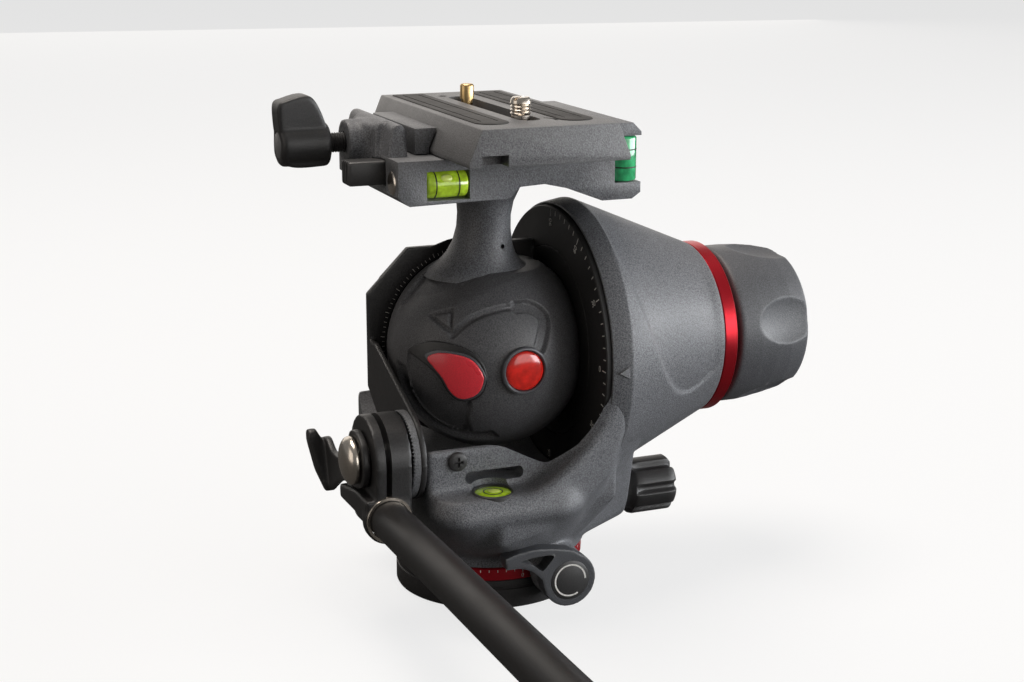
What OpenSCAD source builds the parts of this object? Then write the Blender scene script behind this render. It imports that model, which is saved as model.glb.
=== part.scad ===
// Photo and video head: a ball in a tilting carrier, on a panning base, with a sliding camera plate.
// Millimetres. Origin at the centre of the base's underside, on the pan axis. +Z up, the cone along +X,
// and the operator on the -Y side.

/* [Base] */
// Radius of the base disc
base_r = 30; // [26:0.5:34]
// Height of the base disc
base_h = 10; // [8:0.5:14]
// Radius of the tripod thread, 3/8 inch
thread_r = 4.7625; // [3.175:0.0125:4.7625]
// Depth of the tripod thread
thread_depth = 12; // [8:0.5:13]
// Radius of the pan axle's journal
axle_r = 8; // [7:0.25:9]
// Radius of the pan axle where it is pressed into the base disc
axle_seat_r = 12; // [11:0.5:14]
// Height of the red pan scale ring
pan_ring_h = 4.2; // [3:0.1:6]
// How far the pan scale ring stands out past the base disc
pan_ring_out = 1; // [0.5:0.1:2]
// Thickness of the pan thrust washer
pan_washer_t = 0.6; // [0.4:0.1:1.2]
// Thickness of the pan nut
pan_nut_t = 5; // [4:0.25:5.5]

/* [Housing] */
// Height of the tilt axis above the base
tilt_z = 78.2; // [76:0.2:84]
// Radius of the housing's round foot
foot_r = 31.5; // [30:0.5:34]
// Height of the pan nut's seat above the housing's underside
nut_seat_h = 14.6; // [13.5:0.1:15.5]
// Left end of the housing, from the pan axis
housing_left = 33; // [30:0.1:33]
// Half depth of the cradle block
cradle_half_y = 36; // [34:0.5:40]
// Top of the cradle's lip, below the tilt axis
lip_drop = 21.2; // [18:0.2:26]
// Top of the front shelf, below the tilt axis
shelf_drop = 34.7; // [33:0.1:37]
// Front edge of the shelf, from the pan axis
shelf_front = 48; // [46:0.5:48]
// Face of the ring's lip, from the pan axis
ring_face_x = 23.7; // [23.6:0.1:24]
// Outer radius of the ring's lip at its face
ring_lip_r = 44.9; // [44.7:0.1:45.4]
// Radius of the ring's crest
ring_r = 45.9; // [45.5:0.1:46.5]
// Crest of the ring, from the pan axis
ring_crest_x = 30; // [28:0.5:34]
// End of the cone, from the pan axis
cone_end_x = 71.3; // [71.1:0.1:74]
// Radius of the cone's end
cone_end_r = 28.4; // [28:0.1:30]
// Radius of the cone cap
cap_r = 25.9; // [24:0.1:26]
// Thickness of the cone cap
cap_t = 7.8; // [7:0.1:7.8]
// Thickness of the red ring on the cone
cone_ring_t = 4.6; // [3:0.1:6]

/* [Tilt carrier] */
// Radius that the carrier turns in
carrier_r = 39.5; // [39:0.1:39.8]
// Front face of the carrier, behind the ball's centre
carrier_face_y = 13.5; // [13.4:0.1:15]
// Left face of the carrier, from the pan axis
carrier_left = 35.2; // [35:0.1:36]
// Thickness of the carrier's cheek
cheek_t = 2.2; // [2:0.1:2.4]
// Radius of the carrier's hub
hub_r = 31; // [30:0.25:32]
// Radius of the tilt shaft
shaft_r = 9; // [8:0.25:10]
// Outer radius of the tilt bushes
bush_r = 14; // [13:0.25:16]
// Outer radius of the tilt scale ring
scale_r = 43.8; // [42:0.1:43.9]
// Thickness of the tilt scale ring
scale_t = 3.6; // [2.5:0.1:3.7]
// Radius of the drag disc
drag_r = 22; // [20:0.25:22.5]
// Thickness of the drag disc
drag_t = 4; // [3:0.1:4.5]

/* [Ball] */
// Radius of the ball
ball_r = 32; // [31.5:0.1:32.1]
// Height of the flat under the neck, above the ball's centre
flat_h = 27; // [26:0.1:28]
// Radius of the roll axle
roll_r = 5; // [4:0.1:6]
// Radius of the round badge
badge_r = 7.5; // [6:0.1:8.5]
// Half width of the neck's waist
waist_x = 9; // [8:0.1:11]
// Half depth of the neck's waist
waist_y = 11.5; // [10:0.1:12.5]

/* [Mode lever] */
// Turn of the lever's pivot from the front, toward the left
lever_az = 34; // [28:0.5:40]
// Drop of the lever's pivot below the horizontal
lever_drop = 5; // [0:0.5:10]
// Radius of the lever's round end
lever_r = 7.4; // [6:0.1:8]
// Reach of the lever's tip from its pivot
lever_reach = 19; // [16:0.5:20]
// Height of the lever above the ball
lever_h = 2; // [1.8:0.1:2.4]

/* [Main knob] */
// Length of the main knob
knob_l = 27.3; // [24:0.1:34]
// Radius of the main knob at its base
knob_r = 26.4; // [24:0.1:28]
// Radius of the main knob at its end
knob_end_r = 24; // [21:0.1:25]
// Radius of the spindle
spindle_r = 6; // [5:0.1:7]

/* [Pan controls] */
// Pan lock pivot, to the right of the pan axis
lock_x = 11; // [9:0.5:12]
// Pan lock pivot, above the base's underside
lock_z = 12.5; // [12:0.1:13]
// Radius of the pan lock lever's hub
lock_r = 8.7; // [8:0.1:9.5]
// Reach of the pan lock lever
lock_reach = 27; // [22:0.5:30]
// Thickness of the pan lock lever
lock_t = 6; // [5:0.1:8]
// Height of the pan drag knob's axis
drag_z = 24; // [23.6:0.1:24.4]
// Radius of the pan drag knob
drag_knob_r = 9.4; // [8:0.1:10]
// Length of the pan drag knob
drag_knob_l = 18.6; // [14:0.1:22]

/* [Pan bar] */
// Rosette centre in front of the tilt axis
rosette_y = 23.5; // [22:0.1:25]
// Rosette centre below the tilt axis
rosette_drop = 24.7; // [23:0.1:26]
// Radius of the rosette
rosette_r = 13.5; // [12:0.1:13.6]
// Radius of the pan bar
bar_r = 6; // [5:0.1:6.2]
// Bar axis below the rosette's centre
bar_drop = 16; // [15.6:0.1:17]
// Rise of the bar toward the operator, in degrees
bar_rise = 1.7; // [0:0.1:4]
// Length of the pan bar
bar_l = 260; // [180:5:320]
// Length of the grip
grip_l = 92; // [60:1:120]
// Radius of the grip
grip_r = 10.5; // [8:0.1:13]
// Thickness of the split arm
arm_t = 14.4; // [14.2:0.1:15]

/* [Clamp and plate] */
// Half width of the clamp body
clamp_half_x = 38.8; // [38.4:0.1:40]
// Half length of the clamp body
clamp_half_y = 30; // [29:0.5:34]
// Floor of the clamp's channel, above the tilt axis
floor_h = 65.6; // [65:0.1:68]
// Height of the clamp's rails above the channel's floor
rail_h = 8; // [7:0.1:9]
// Half width of the camera plate's underside
plate_half_x = 25; // [24.5:0.1:25.5]
// Half width of the camera plate's top
plate_top_x = 21.1; // [20:0.1:22]
// Thickness of the camera plate
plate_t = 10.9; // [10:0.1:13]
// Length of the camera plate
plate_l = 92; // [80:1:110]
// Front end of the camera plate, in front of the ball's centre
plate_front = 51.4; // [45:0.2:56]
// Radius of the camera screw, 1/4 inch
camera_r = 3.175; // [3.1:0.025:3.2]
// How far the camera screw stands out of the plate
camera_out = 5.8; // [4:0.1:7]
// Radius of the anti-twist pin
pin_r = 2.2; // [1.5:0.1:2.5]
// Radius of the clamp's screw
clamp_screw_r = 3; // [2.5:0.1:3.4]
// Length of the clamp knob
clamp_knob_l = 15.5; // [13:0.1:18]
// Radius of the spirit level tubes
vial_r = 4; // [3.4:0.05:4]

/* [Clearances] */
// Running gap between pieces that move on each other
run_gap = 0.4; // [0.3:0.05:0.5]
// Radial gap round a shaft or a pin
shaft_gap = 0.15; // [0.1:0.01:0.2]
// Gap round a piece that is fixed in its seat
seat_gap = 0.05; // [0.03:0.01:0.1]

/* [Hidden] */
$fn = 96;
far = 200;

// Base, from the tripod face up
axle_flange_r = axle_seat_r + 4;
pan_ring_r = base_r + pan_ring_out;
pan_ring_top = base_h + pan_ring_h;
housing_z = pan_ring_top + pan_washer_t;
nut_seat_z = housing_z + nut_seat_h;
nut_z = nut_seat_z + run_gap;
axle_thread_r = axle_r - 2;
pan_nut_r = axle_r + 4;
nut_pocket_r = pan_nut_r + 1.5;
base_edge = 0.8;
washer_out = 8;

// Tilt and roll, measured from the ball's centre
cup_r = ball_r + run_gap;
cradle_r = carrier_r + 2.25 * run_gap;
bowl_r = carrier_r - 3;
rim_t = 3;
rim_corner = [13.7, 17];
rim_foot = [7.2, -22];
rim_foot_top = -14;
cheek_root = [8, 16];
cheek_edge = 0.5;
roll_nut_r = roll_r + 2;
roll_nut_t = 2.8;
roll_nut_in = 0.6;
roll_seat_y = bowl_r - roll_nut_in;
roll_head_in = 8;
roll_head_t = 3.6;
roll_head_gap = 0.5;
bezel_wall = 1.3;
bezel_out = 0.8;
bezel_floor = 1.4;
badge_floor = roll_head_in - roll_head_t - bezel_floor;
dome_sphere_r = 18.4;
dome_out = 1.4;
hub_proud = 1.7;
hub_x = ring_face_x - hub_proud;
hub_l = 15.6;
hub_end = hub_x + hub_l;
scale_end = hub_x + scale_t;
ring_floor_x = scale_end + run_gap;
ring_pocket_r = scale_r + run_gap;
hub_pocket_r = hub_r + 1.5 * run_gap;
bush_gap = 0.6;
inner_bush_x = hub_end + bush_gap;
inner_bush_l = 5.8;
bush_apart = 1.5;
outer_bush_x = inner_bush_x + inner_bush_l + bush_apart;
outer_bush_l = 4.9;
drag_x = outer_bush_x + outer_bush_l + bush_gap;
drag_end = drag_x + drag_t;
brake_pocket_r = drag_r + 1;
lining_x = drag_end + run_gap;
lining_t = 2;
pressure_x = lining_x + lining_t;
pressure_t = 3.7;
pressure_in = 0.5;
cap_x = cone_end_x - cap_t;
cone_ring_end = cone_end_x + cone_ring_t;
collar_t = 2.1;
collar_end = cone_ring_end + collar_t;
knob_x = collar_end + run_gap;
knob_end = knob_x + knob_l;
knob_tip_l = 3;
knob_edge = 1.2;
knob_straight = 8;
knob_shoulder = [4, 0.6];
knob_brow = [1, 1.6];
knob_face = 4;
scoop_r = 20;
scoop_in = 4;
scoop_back = 9;
scoop_turn = 15;
collar_in = 2.4;
ring_bore_out = 1;
knob_tip_r = 4;

// Mode lever's turn in its own face, and the pad that it drives
lever_turn = 152;
roll_pad_lean = 30;
roll_pad_r = 5;
roll_pad_l = 12.6;
mode_pin_r = 2.5;
mode_pin_l = 9;
mode_pin_in = 0.6;
lever_tip_r = 1;
insert_edge = 1;
insert_short = 5;

// Housing shelf and the things on it
shelf_z = tilt_z - shelf_drop;
lip_z = tilt_z - lip_drop;
bullseye_r = 6.5;
bullseye_x = -13.3;
bullseye_y = -39.4;
bullseye_t = 3.4;
bullseye_niche = 4;
shelf_screw_x = -23.5;
shelf_screw_r = 3;
shelf_screw_z = lip_z - 1.2 * shelf_screw_r;
shelf_screw_head = 1.4;
shelf_screw_l = 3;
cup_rim = 0.4;
cup_floor = 0.8;
cup_wall = 0.9;
lens_low = 0.6;
foot_slice_h = 6;
foot_slice_up = 4;
cradle_deep = 8;
shelf_t = 7;
shelf_corner = 8;
shelf_root = 10;
shelf_right = ring_face_x - 4;
saddle_in = 0.6;
flank_in = 7;
flank_half_y = 20;
lock_boss_in = 20;
belly_x = 44;
belly_t = 2;
saddle_x = ring_face_x + 2;
saddle_end = belly_x - 6;
saddle_drop = 16;
saddle_z = tilt_z - saddle_drop;
boss_out = 5;
boss_front = foot_r + boss_out;
drag_boss_r = 9.2;
drag_boss_in = 10;
drag_boss_end = 47;
drag_screw_x = 30;
drag_knob_in = 2;
drag_knob_flare = 4;
drag_knob_edge = 1.5;
drag_knob_bore = 4;
flute_r = 2.6;
flute_out = 1.2;
flute_x = 2.7;
flute_turn = 12;
drag_shoe_r = 4;
lock_pad_r = 4;
lock_stem_r = 2.9;
lock_stem_in = 2;
lock_front = -boss_front - run_gap - lock_t;
lock_arm_t = lock_t - 1;
lock_turn = 152;
lock_tip_r = 2;
lock_insert_r = lock_r - 2.3;
lock_insert_t = 0.8;
lock_insert_proud = 0.2;
lock_tip_up = 1;
window_near = 1.6;
window_far = 9;
window_up = 2.6;
window_mid = 1.6;
window_low_in = 2.6;
window_low = 3.4;
// Step between a lever's flat arm and the round boss that it grows from
edge_step = 0.6;

// Pan bar arm, measured from the rosette's centre
rosette_t = 2.4;
rosette_face = -carrier_left - rosette_t;
arm_in = rosette_face - run_gap;
arm_out = arm_in - arm_t;
bar_x = arm_in - arm_t / 2;
arm_hub_r = rosette_r;
arm_front = -11;
arm_back = 16;
arm_wall = 2;
arm_bottom = -bar_drop - bar_r - arm_wall;
arm_slit = 1.8;
mouth_wall = 1.7;
mouth_out = 1.6;
mouth_in = 2;
socket_gap = 0.6;
stud_in_dome = 2;
stud_r = 4;
arm_lever_r = 9;
arm_lever_t = 2.4;
arm_tip = [34, -10];
arm_tip_r = 4.6;
arm_tip_out = 5;
arm_tip_low = 7;
arm_plate_t = 3;
arm_hub_out = bar_x - arm_slit / 2 - arm_plate_t;
arm_step = [arm_lever_r + 1.5 * run_gap, arm_lever_r + 8 * run_gap];
arm_lever_in = arm_hub_out - run_gap;
arm_lever_out = arm_lever_in - arm_lever_t;
dome_r = 7.4;
dome_h = 4.2;
dome_flat = 1;
bar_back = 5;
bar_wall = 1.5;
bar_solid = 40;
grip_end = 5;
grip_edge = 3;
grip_neck = [2, 6];

// Clamp, measured from the ball's centre
plate_bottom = floor_h + 0.75 * run_gap;
plate_top = plate_bottom + plate_t;
plate_edge = 1.5;
rail_x = plate_half_x + run_gap;
rail_step = plate_edge + run_gap;
rail_lean = (plate_half_x - plate_top_x) / (plate_t - plate_edge);
rail_top_x = rail_x - (rail_h - rail_step) * rail_lean;
rail_top = floor_h + rail_h;
clamp_t = 13.2;
clamp_foot_t = 15.2;
arch_t = 9;
clamp_low = floor_h - clamp_t;
clamp_foot = floor_h - clamp_foot_t;
arch_top = floor_h - arch_t;
clamp_edge = 2.8;
clamp_heel = [3.4, 2.6];
foot_edge = 1.9;
arch_left = [-4, 0.6];
arch_crest = [-1, 0.4];
arch_right = [14, 1.6];
arch_mid = 7;
foot_in = 0.6;
rail_short = 2;
wall_up = 1.2;
// Neck: how far each section stands out past the waist, and where it lies
neck_slab_t = 0.4;
neck_foot = [7, 1.1];
neck_ankle = [2.6, 0.6];
neck_ankle_h = 5;
neck_chest = [0.4, 1];
neck_rise = 8;
neck_head = 3.5;
neck_over = 0.3;
waist_below = 2;
waist_h = (flat_h + arch_top) / 2 - waist_below;

// Jaw, screw, knob, button and levels of the clamp
jaw_t = 4.9;
jaw_back = plate_half_x + jaw_t;
jaw_low = 0.2;
jaw_bore_in = 0.6;
jaw_travel = 1.4;
wall_in = jaw_back + jaw_travel + 1.75 * run_gap;
wall_front = -21;
wall_back = 26;
jaw_front = -19;
jaw_rear = 22;
screw_up = 2.4;
screw_h = floor_h + screw_up;
clamp_boss_r = 6.8;
clamp_boss_l = 7.2;
clamp_boss_in = 1;
clamp_boss_end = clamp_half_x + clamp_boss_l;
clamp_neck = 5;
clamp_knob_x = clamp_boss_end + clamp_neck;
clamp_knob_r = 6.6;
clamp_knob_t = 9;
clamp_knob_up = 15.3;
clamp_knob_seat = 2;
wing_lean = 1.8;
wing_back = [4, 1.4];
wing_edge = 0.8;
wing_top = 6;
wing_front = [2.6, 8];
button_y = -14;
button_half_y = 3.9;
button_drop = 4.8;
button_h = floor_h - button_drop;
button_half_z = 3.6;
button_proud = 11.2;
button_root = 5.2;
button_out = clamp_half_x + button_proud;
button_in = clamp_half_x - button_root;
button_travel = 3;
button_pocket = button_in - button_travel - run_gap;
spring_r = 2.6;
spring_wire = 0.8;
spring_in = 5;
spring_gap = 0.3;
vial_gap = 0.3;
front_vial_l = 12.5;
front_vial_x = -29.7;
vial_proud = 0.5;
vial_y = -clamp_half_y + vial_r - vial_proud;
front_vial_drop = 7.6;
front_vial_h = floor_h - front_vial_drop;
side_vial_x = clamp_half_x - vial_r - run_gap;
side_vial_l = 13.6;
side_vial_drop = 9.8;
side_vial_low = floor_h - side_vial_drop;
plug_r = 3.5;
plug_y = -24;
plug_drop = 7;
plug_h = floor_h - plug_drop;
plug_l = 2;
plug_proud = 0.5;

// Camera plate's slot and what slides in it
slot_front = -34;
slot_back = 24;
slot_gap = 0.3;
slot_r = camera_r + slot_gap;
slot_head_r = 7;
slot_head_t = 5.4;
screw_y = -28;
pin_y = 17;
pad_in = 8;
pad_out = 18.4;
pad_front = 8.6;
pad_back = 4;
pad_t = 1.1;
pad_depth = 0.8;
notch = [8, 6, 3.4];
head_up = 1;
head_top = plate_bottom + slot_head_t - slot_gap;
pin_head_out = 2.8;
pin_short = 0.6;
// The screw and the pin are thinner inside the slot, so that they can't drop out
neck_step = 0.4;
pin_foot = plate_top + pad_t - pad_depth + 0.5 * run_gap;

// Round rod along X, from x0 to x1
module x_rod(r, x0, x1) {
    translate([x0, 0, 0]) rotate([0, 90, 0]) cylinder(r = r, h = x1 - x0);
}

// Round rod along Y, from y0 to y1
module y_rod(r, y0, y1) {
    translate([0, y0, 0]) rotate([-90, 0, 0]) cylinder(r = r, h = y1 - y0);
}

// Ring along X
module x_ring(r_in, r_out, x0, x1) {
    difference() {
        x_rod(r_out, x0, x1);
        x_rod(r_in, x0 - 1, x1 + 1);
    }
}

// Solid turned about X from points of x and radius
module x_turn(points) {
    rotate([0, 90, 0]) rotate_extrude() polygon([for (p = points) [p[1], p[0]]]);
}

// Outline in X and Z drawn out along Y, from y0 to y1
module y_drawn(y0, y1) {
    translate([0, y1, 0]) rotate([90, 0, 0]) linear_extrude(y1 - y0) children();
}

// Outline in Y and Z drawn out along X, from x0 to x1
module x_drawn(x0, x1) {
    translate([x0, 0, 0]) rotate([90, 0, 90]) linear_extrude(x1 - x0) children();
}

// Places its children at the ball's centre
module at_ball() {
    translate([0, 0, tilt_z]) children();
}

// Places its children at the rosette's centre, turned with the bar
module at_arm() {
    translate([0, -rosette_y, tilt_z - rosette_drop]) rotate([-bar_rise, 0, 0]) children();
}

// Turns its children about the ball's centre, so that -Y becomes the mode lever's axis
module lever_turned() {
    rotate([0, 0, -lever_az]) rotate([lever_drop, 0, 0]) children();
}

// Places its children on the mode lever's axis, with -Y pointing out of the ball
module at_lever() {
    at_ball() lever_turned() children();
}

module base_disc() {
    color("dimgray") difference() {
        rotate_extrude() polygon([[0, 0], [base_r - base_edge, 0], [base_r, base_edge], [base_r, base_h],
            [0, base_h]]);
        translate([0, 0, -1]) cylinder(r = axle_seat_r + seat_gap, h = base_h + 2);
    }
}

module pan_axle() {
    color("silver") difference() {
        union() {
            cylinder(r = axle_seat_r, h = base_h);
            translate([0, 0, base_h]) cylinder(r = axle_flange_r, h = pan_ring_h);
            cylinder(r = axle_r, h = nut_z);
            cylinder(r = axle_thread_r, h = nut_z + pan_nut_t);
        }
        translate([0, 0, -1]) cylinder(r = thread_r, h = thread_depth + 1);
    }
}

module pan_scale_ring() {
    color("firebrick") translate([0, 0, base_h]) difference() {
        cylinder(r = pan_ring_r, h = pan_ring_h);
        translate([0, 0, -1]) cylinder(r = axle_flange_r + seat_gap, h = pan_ring_h + 2);
    }
}

module pan_washer() {
    color("ivory") translate([0, 0, pan_ring_top]) difference() {
        cylinder(r = axle_flange_r + washer_out, h = pan_washer_t);
        translate([0, 0, -1]) cylinder(r = axle_r + shaft_gap, h = pan_washer_t + 2);
    }
}

module pan_nut() {
    color("silver") translate([0, 0, nut_z]) difference() {
        cylinder(r = pan_nut_r, h = pan_nut_t, $fn = 6);
        translate([0, 0, -1]) cylinder(r = axle_thread_r + seat_gap, h = pan_nut_t + 2);
    }
}

// Slice of the foot that the housing's blended shapes start from
module foot_slice() {
    translate([0, 0, housing_z + foot_slice_up]) cylinder(r = foot_r, h = foot_slice_h, $fn = 48);
}

module housing_blank() {
    at_ball() x_turn([[ring_face_x, 0], [ring_face_x, ring_lip_r], [ring_crest_x, ring_r],
        [cone_end_x, cone_end_r], [cone_end_x, 0]]);
    translate([0, 0, housing_z]) cylinder(r = foot_r, h = nut_seat_h);
    // Cradle under the ball
    hull() {
        foot_slice();
        translate([-housing_left, -cradle_half_y, shelf_z - cradle_deep])
            cube([housing_left + ring_crest_x, 2 * cradle_half_y, lip_z - shelf_z + cradle_deep]);
    }
    // Shelf in front
    hull() {
        foot_slice();
        for (x = [-housing_left + shelf_corner, shelf_right])
            translate([x, -shelf_front + shelf_corner, shelf_z - shelf_t])
                cylinder(r = shelf_corner, h = shelf_t, $fn = 32);
        translate([-housing_left, -cradle_half_y, shelf_z - shelf_t])
            cube([housing_left + ring_face_x, shelf_root, shelf_t]);
    }
    // Saddle up to the ring
    hull() {
        foot_slice();
        intersection() {
            at_ball() x_rod(ring_r - saddle_in, saddle_x, saddle_end, $fn = 64);
            translate([0, -far / 2, 0]) cube([far, far, saddle_z]);
        }
    }
    // Block that carries the pan drag knob
    hull() {
        foot_slice();
        translate([0, 0, drag_z]) x_rod(drag_boss_r, belly_x - drag_boss_in, drag_boss_end, $fn = 48);
        at_ball() intersection() {
            x_rod(ring_r - flank_in, belly_x - belly_t, belly_x, $fn = 48);
            translate([0, -flank_half_y, -far]) cube([far, 2 * flank_half_y, far]);
        }
    }
    // Boss of the pan lock
    translate([lock_x, 0, lock_z]) y_rod(lock_r, -boss_front, -lock_boss_in);
}

module housing() {
    color("dimgray") difference() {
        housing_blank();
        // Room for the base below and the carrier above
        translate([0, 0, -1]) cylinder(r = pan_ring_r + 2 * run_gap, h = housing_z + 1);
        at_ball() x_rod(cradle_r, -far, ring_floor_x);
        at_ball() x_rod(ring_pocket_r, hub_x - 2 * run_gap, ring_floor_x);
        at_ball() x_rod(hub_pocket_r, 0, hub_end + 0.5 * bush_gap);
        // Tilt shaft, brake and cap
        at_ball() x_rod(bush_r, 0, drag_x);
        at_ball() x_rod(brake_pocket_r, drag_x - 0.5 * bush_gap, cap_x + 1);
        at_ball() x_rod(cap_r + seat_gap, cap_x, far);
        // Pan axle and nut
        cylinder(r = axle_r + shaft_gap, h = far);
        translate([0, 0, nut_seat_z]) cylinder(r = nut_pocket_r, h = far);
        // Pan controls
        translate([0, 0, drag_z]) x_rod(drag_shoe_r + shaft_gap, 0, drag_screw_x);
        translate([0, 0, drag_z]) x_rod(clamp_screw_r + shaft_gap, 0, far);
        translate([lock_x, 0, lock_z]) y_rod(lock_pad_r + shaft_gap, -far, -lock_boss_in);
        // Seats on the shelf
        translate([bullseye_x, bullseye_y, shelf_z - bullseye_t])
            cylinder(r = bullseye_r + seat_gap, h = bullseye_t + bullseye_niche);
        translate([shelf_screw_x, 0, shelf_screw_z])
            y_rod(shelf_screw_r / 2 + seat_gap, -far, -cradle_half_y + shelf_screw_l);
    }
}

module cone_cap() {
    color("gray") at_ball() x_ring(spindle_r + shaft_gap, cap_r, cap_x, cone_end_x);
}

module cone_ring() {
    color("crimson") at_ball() x_ring(spindle_r + ring_bore_out, cone_end_r, cone_end_x, cone_ring_end);
}

module knob_collar() {
    color("black") at_ball() x_ring(spindle_r + ring_bore_out, knob_r - collar_in, cone_ring_end, collar_end);
}

module inner_bush() {
    color("goldenrod") at_ball()
        x_ring(shaft_r + shaft_gap, bush_r - seat_gap, inner_bush_x, inner_bush_x + inner_bush_l);
}

module outer_bush() {
    color("goldenrod") at_ball()
        x_ring(shaft_r + shaft_gap, bush_r - seat_gap, outer_bush_x, outer_bush_x + outer_bush_l);
}

module bullseye_cup() {
    color("black") translate([bullseye_x, bullseye_y, shelf_z - bullseye_t]) difference() {
        cylinder(r = bullseye_r, h = bullseye_t + cup_rim);
        translate([0, 0, cup_floor]) cylinder(r = bullseye_r - cup_wall, h = bullseye_t);
    }
}

module bullseye_lens() {
    color("yellowgreen") translate([bullseye_x, bullseye_y, shelf_z - bullseye_t + cup_floor])
        cylinder(r = bullseye_r - cup_wall - seat_gap, h = bullseye_t - lens_low);
}

module shelf_screw() {
    color("black") translate([shelf_screw_x, 0, shelf_screw_z]) {
        y_rod(shelf_screw_r, -cradle_half_y - shelf_screw_head, -cradle_half_y);
        y_rod(shelf_screw_r / 2, -cradle_half_y, -cradle_half_y + shelf_screw_l);
    }
}

// Flat rim round the carrier's mouth, seen from the front
module rim_outline() {
    polygon([[hub_x, hub_r], [-carrier_left + rim_corner[0], hub_r], [-carrier_left, rim_corner[1]],
        [-carrier_left, rim_foot_top], [-carrier_left + rim_foot[0], rim_foot[1]], [hub_x, -hub_r]]);
}

module tilt_carrier() {
    color("black") at_ball() difference() {
        union() {
            // Bowl behind the ball
            intersection() {
                sphere(r = bowl_r);
                translate([-far, carrier_face_y, -far / 2]) cube([far + hub_x, far, far]);
            }
            y_drawn(carrier_face_y, carrier_face_y + rim_t) rim_outline();
            // Hub toward the cone
            x_rod(hub_r, hub_x, hub_end);
            // Cheek that reaches down to the rosette
            x_drawn(-carrier_left, -carrier_left + cheek_t) hull() {
                translate([-rosette_y, -rosette_drop]) circle(r = rosette_r + cheek_edge);
                translate([carrier_face_y + rim_t - cheek_root[0], rim_foot_top]) square(cheek_root);
            }
        }
        sphere(r = cup_r);
        y_rod(roll_r + shaft_gap, 0, far);
        y_rod(roll_nut_r + 2 * run_gap, roll_seat_y, far);
        translate([0, -rosette_y, -rosette_drop]) x_rod(stud_r + seat_gap, -far, 0);
    }
}

module tilt_scale_ring() {
    color("black") at_ball() x_ring(hub_r + seat_gap, scale_r, hub_x, scale_end);
}

module tilt_shaft() {
    color("silver") at_ball() x_rod(shaft_r, hub_end, drag_end);
}

module drag_disc() {
    color("tan") at_ball() x_ring(shaft_r + seat_gap, drag_r, drag_x, drag_end);
}

module rosette() {
    color("gray") translate([0, -rosette_y, tilt_z - rosette_drop])
        x_ring(stud_r + seat_gap, rosette_r, rosette_face, -carrier_left);
}

module arm_stud() {
    color("silver") translate([0, -rosette_y, tilt_z - rosette_drop])
        x_rod(stud_r, arm_lever_out - run_gap - stud_in_dome, -carrier_left + cheek_t);
}

module dome_nut() {
    color("silver") translate([arm_lever_out - run_gap, -rosette_y, tilt_z - rosette_drop]) difference() {
        intersection() {
            x_rod(dome_r, -dome_h, 0);
            translate([dome_r - dome_h + dome_flat, 0, 0]) sphere(r = dome_r + dome_flat);
        }
        x_rod(stud_r + seat_gap, -stud_in_dome, 1);
    }
}

module ball() {
    color("black") at_ball() difference() {
        sphere(r = ball_r);
        translate([-far / 2, -far / 2, flat_h]) cube(far);
        y_rod(badge_r + seat_gap, -far, -ball_r + roll_head_in);
        y_rod(roll_r + seat_gap, -far, far);
        lever_turned() y_rod(mode_pin_r + shaft_gap, -far, -ball_r + mode_pin_l + run_gap);
        rotate([-roll_pad_lean, 0, 0]) y_rod(roll_pad_r + shaft_gap, ball_r - roll_pad_l - run_gap, far);
    }
}

// Oval slab of the neck at height z, with half width a and half depth b
module neck_slab(z, a, b) {
    r = min(a, b);
    for (s = [-1, 1])
        translate([s * (a - r), s * (b - r), z]) cylinder(r = r, h = neck_slab_t, $fn = 32);
}

module neck() {
    slabs = [[flat_h, waist_x + neck_foot[0], waist_y + neck_foot[1]],
        [flat_h + neck_ankle_h, waist_x + neck_ankle[0], waist_y + neck_ankle[1]],
        [waist_h, waist_x, waist_y], [waist_h + neck_rise, waist_x + neck_chest[0], waist_y + neck_chest[1]],
        [arch_top + neck_over, waist_x + neck_head, waist_y + neck_head]];
    color("dimgray") at_ball() difference() {
        for (i = [0 : len(slabs) - 2]) hull() {
            neck_slab(slabs[i][0], slabs[i][1], slabs[i][2]);
            neck_slab(slabs[i + 1][0], slabs[i + 1][1], slabs[i + 1][2]);
        }
        y_drawn(-clamp_half_y, clamp_half_y) clamp_outline();
    }
}

// Clamp's floor seen from the front, with the arch on the right of the neck
module clamp_outline() {
    polygon([[-clamp_half_x, clamp_low + clamp_heel[1]], [-clamp_half_x + clamp_heel[0], clamp_low],
        [arch_left[0], clamp_low + arch_left[1]], [arch_crest[0], arch_top - arch_crest[1]],
        [arch_mid, arch_top], [arch_right[0], arch_top - arch_right[1]], [rail_x + foot_in, clamp_foot],
        [clamp_half_x - clamp_edge, clamp_foot], [clamp_half_x, clamp_foot + foot_edge],
        [clamp_half_x, floor_h], [-clamp_half_x, floor_h]]);
}

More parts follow.
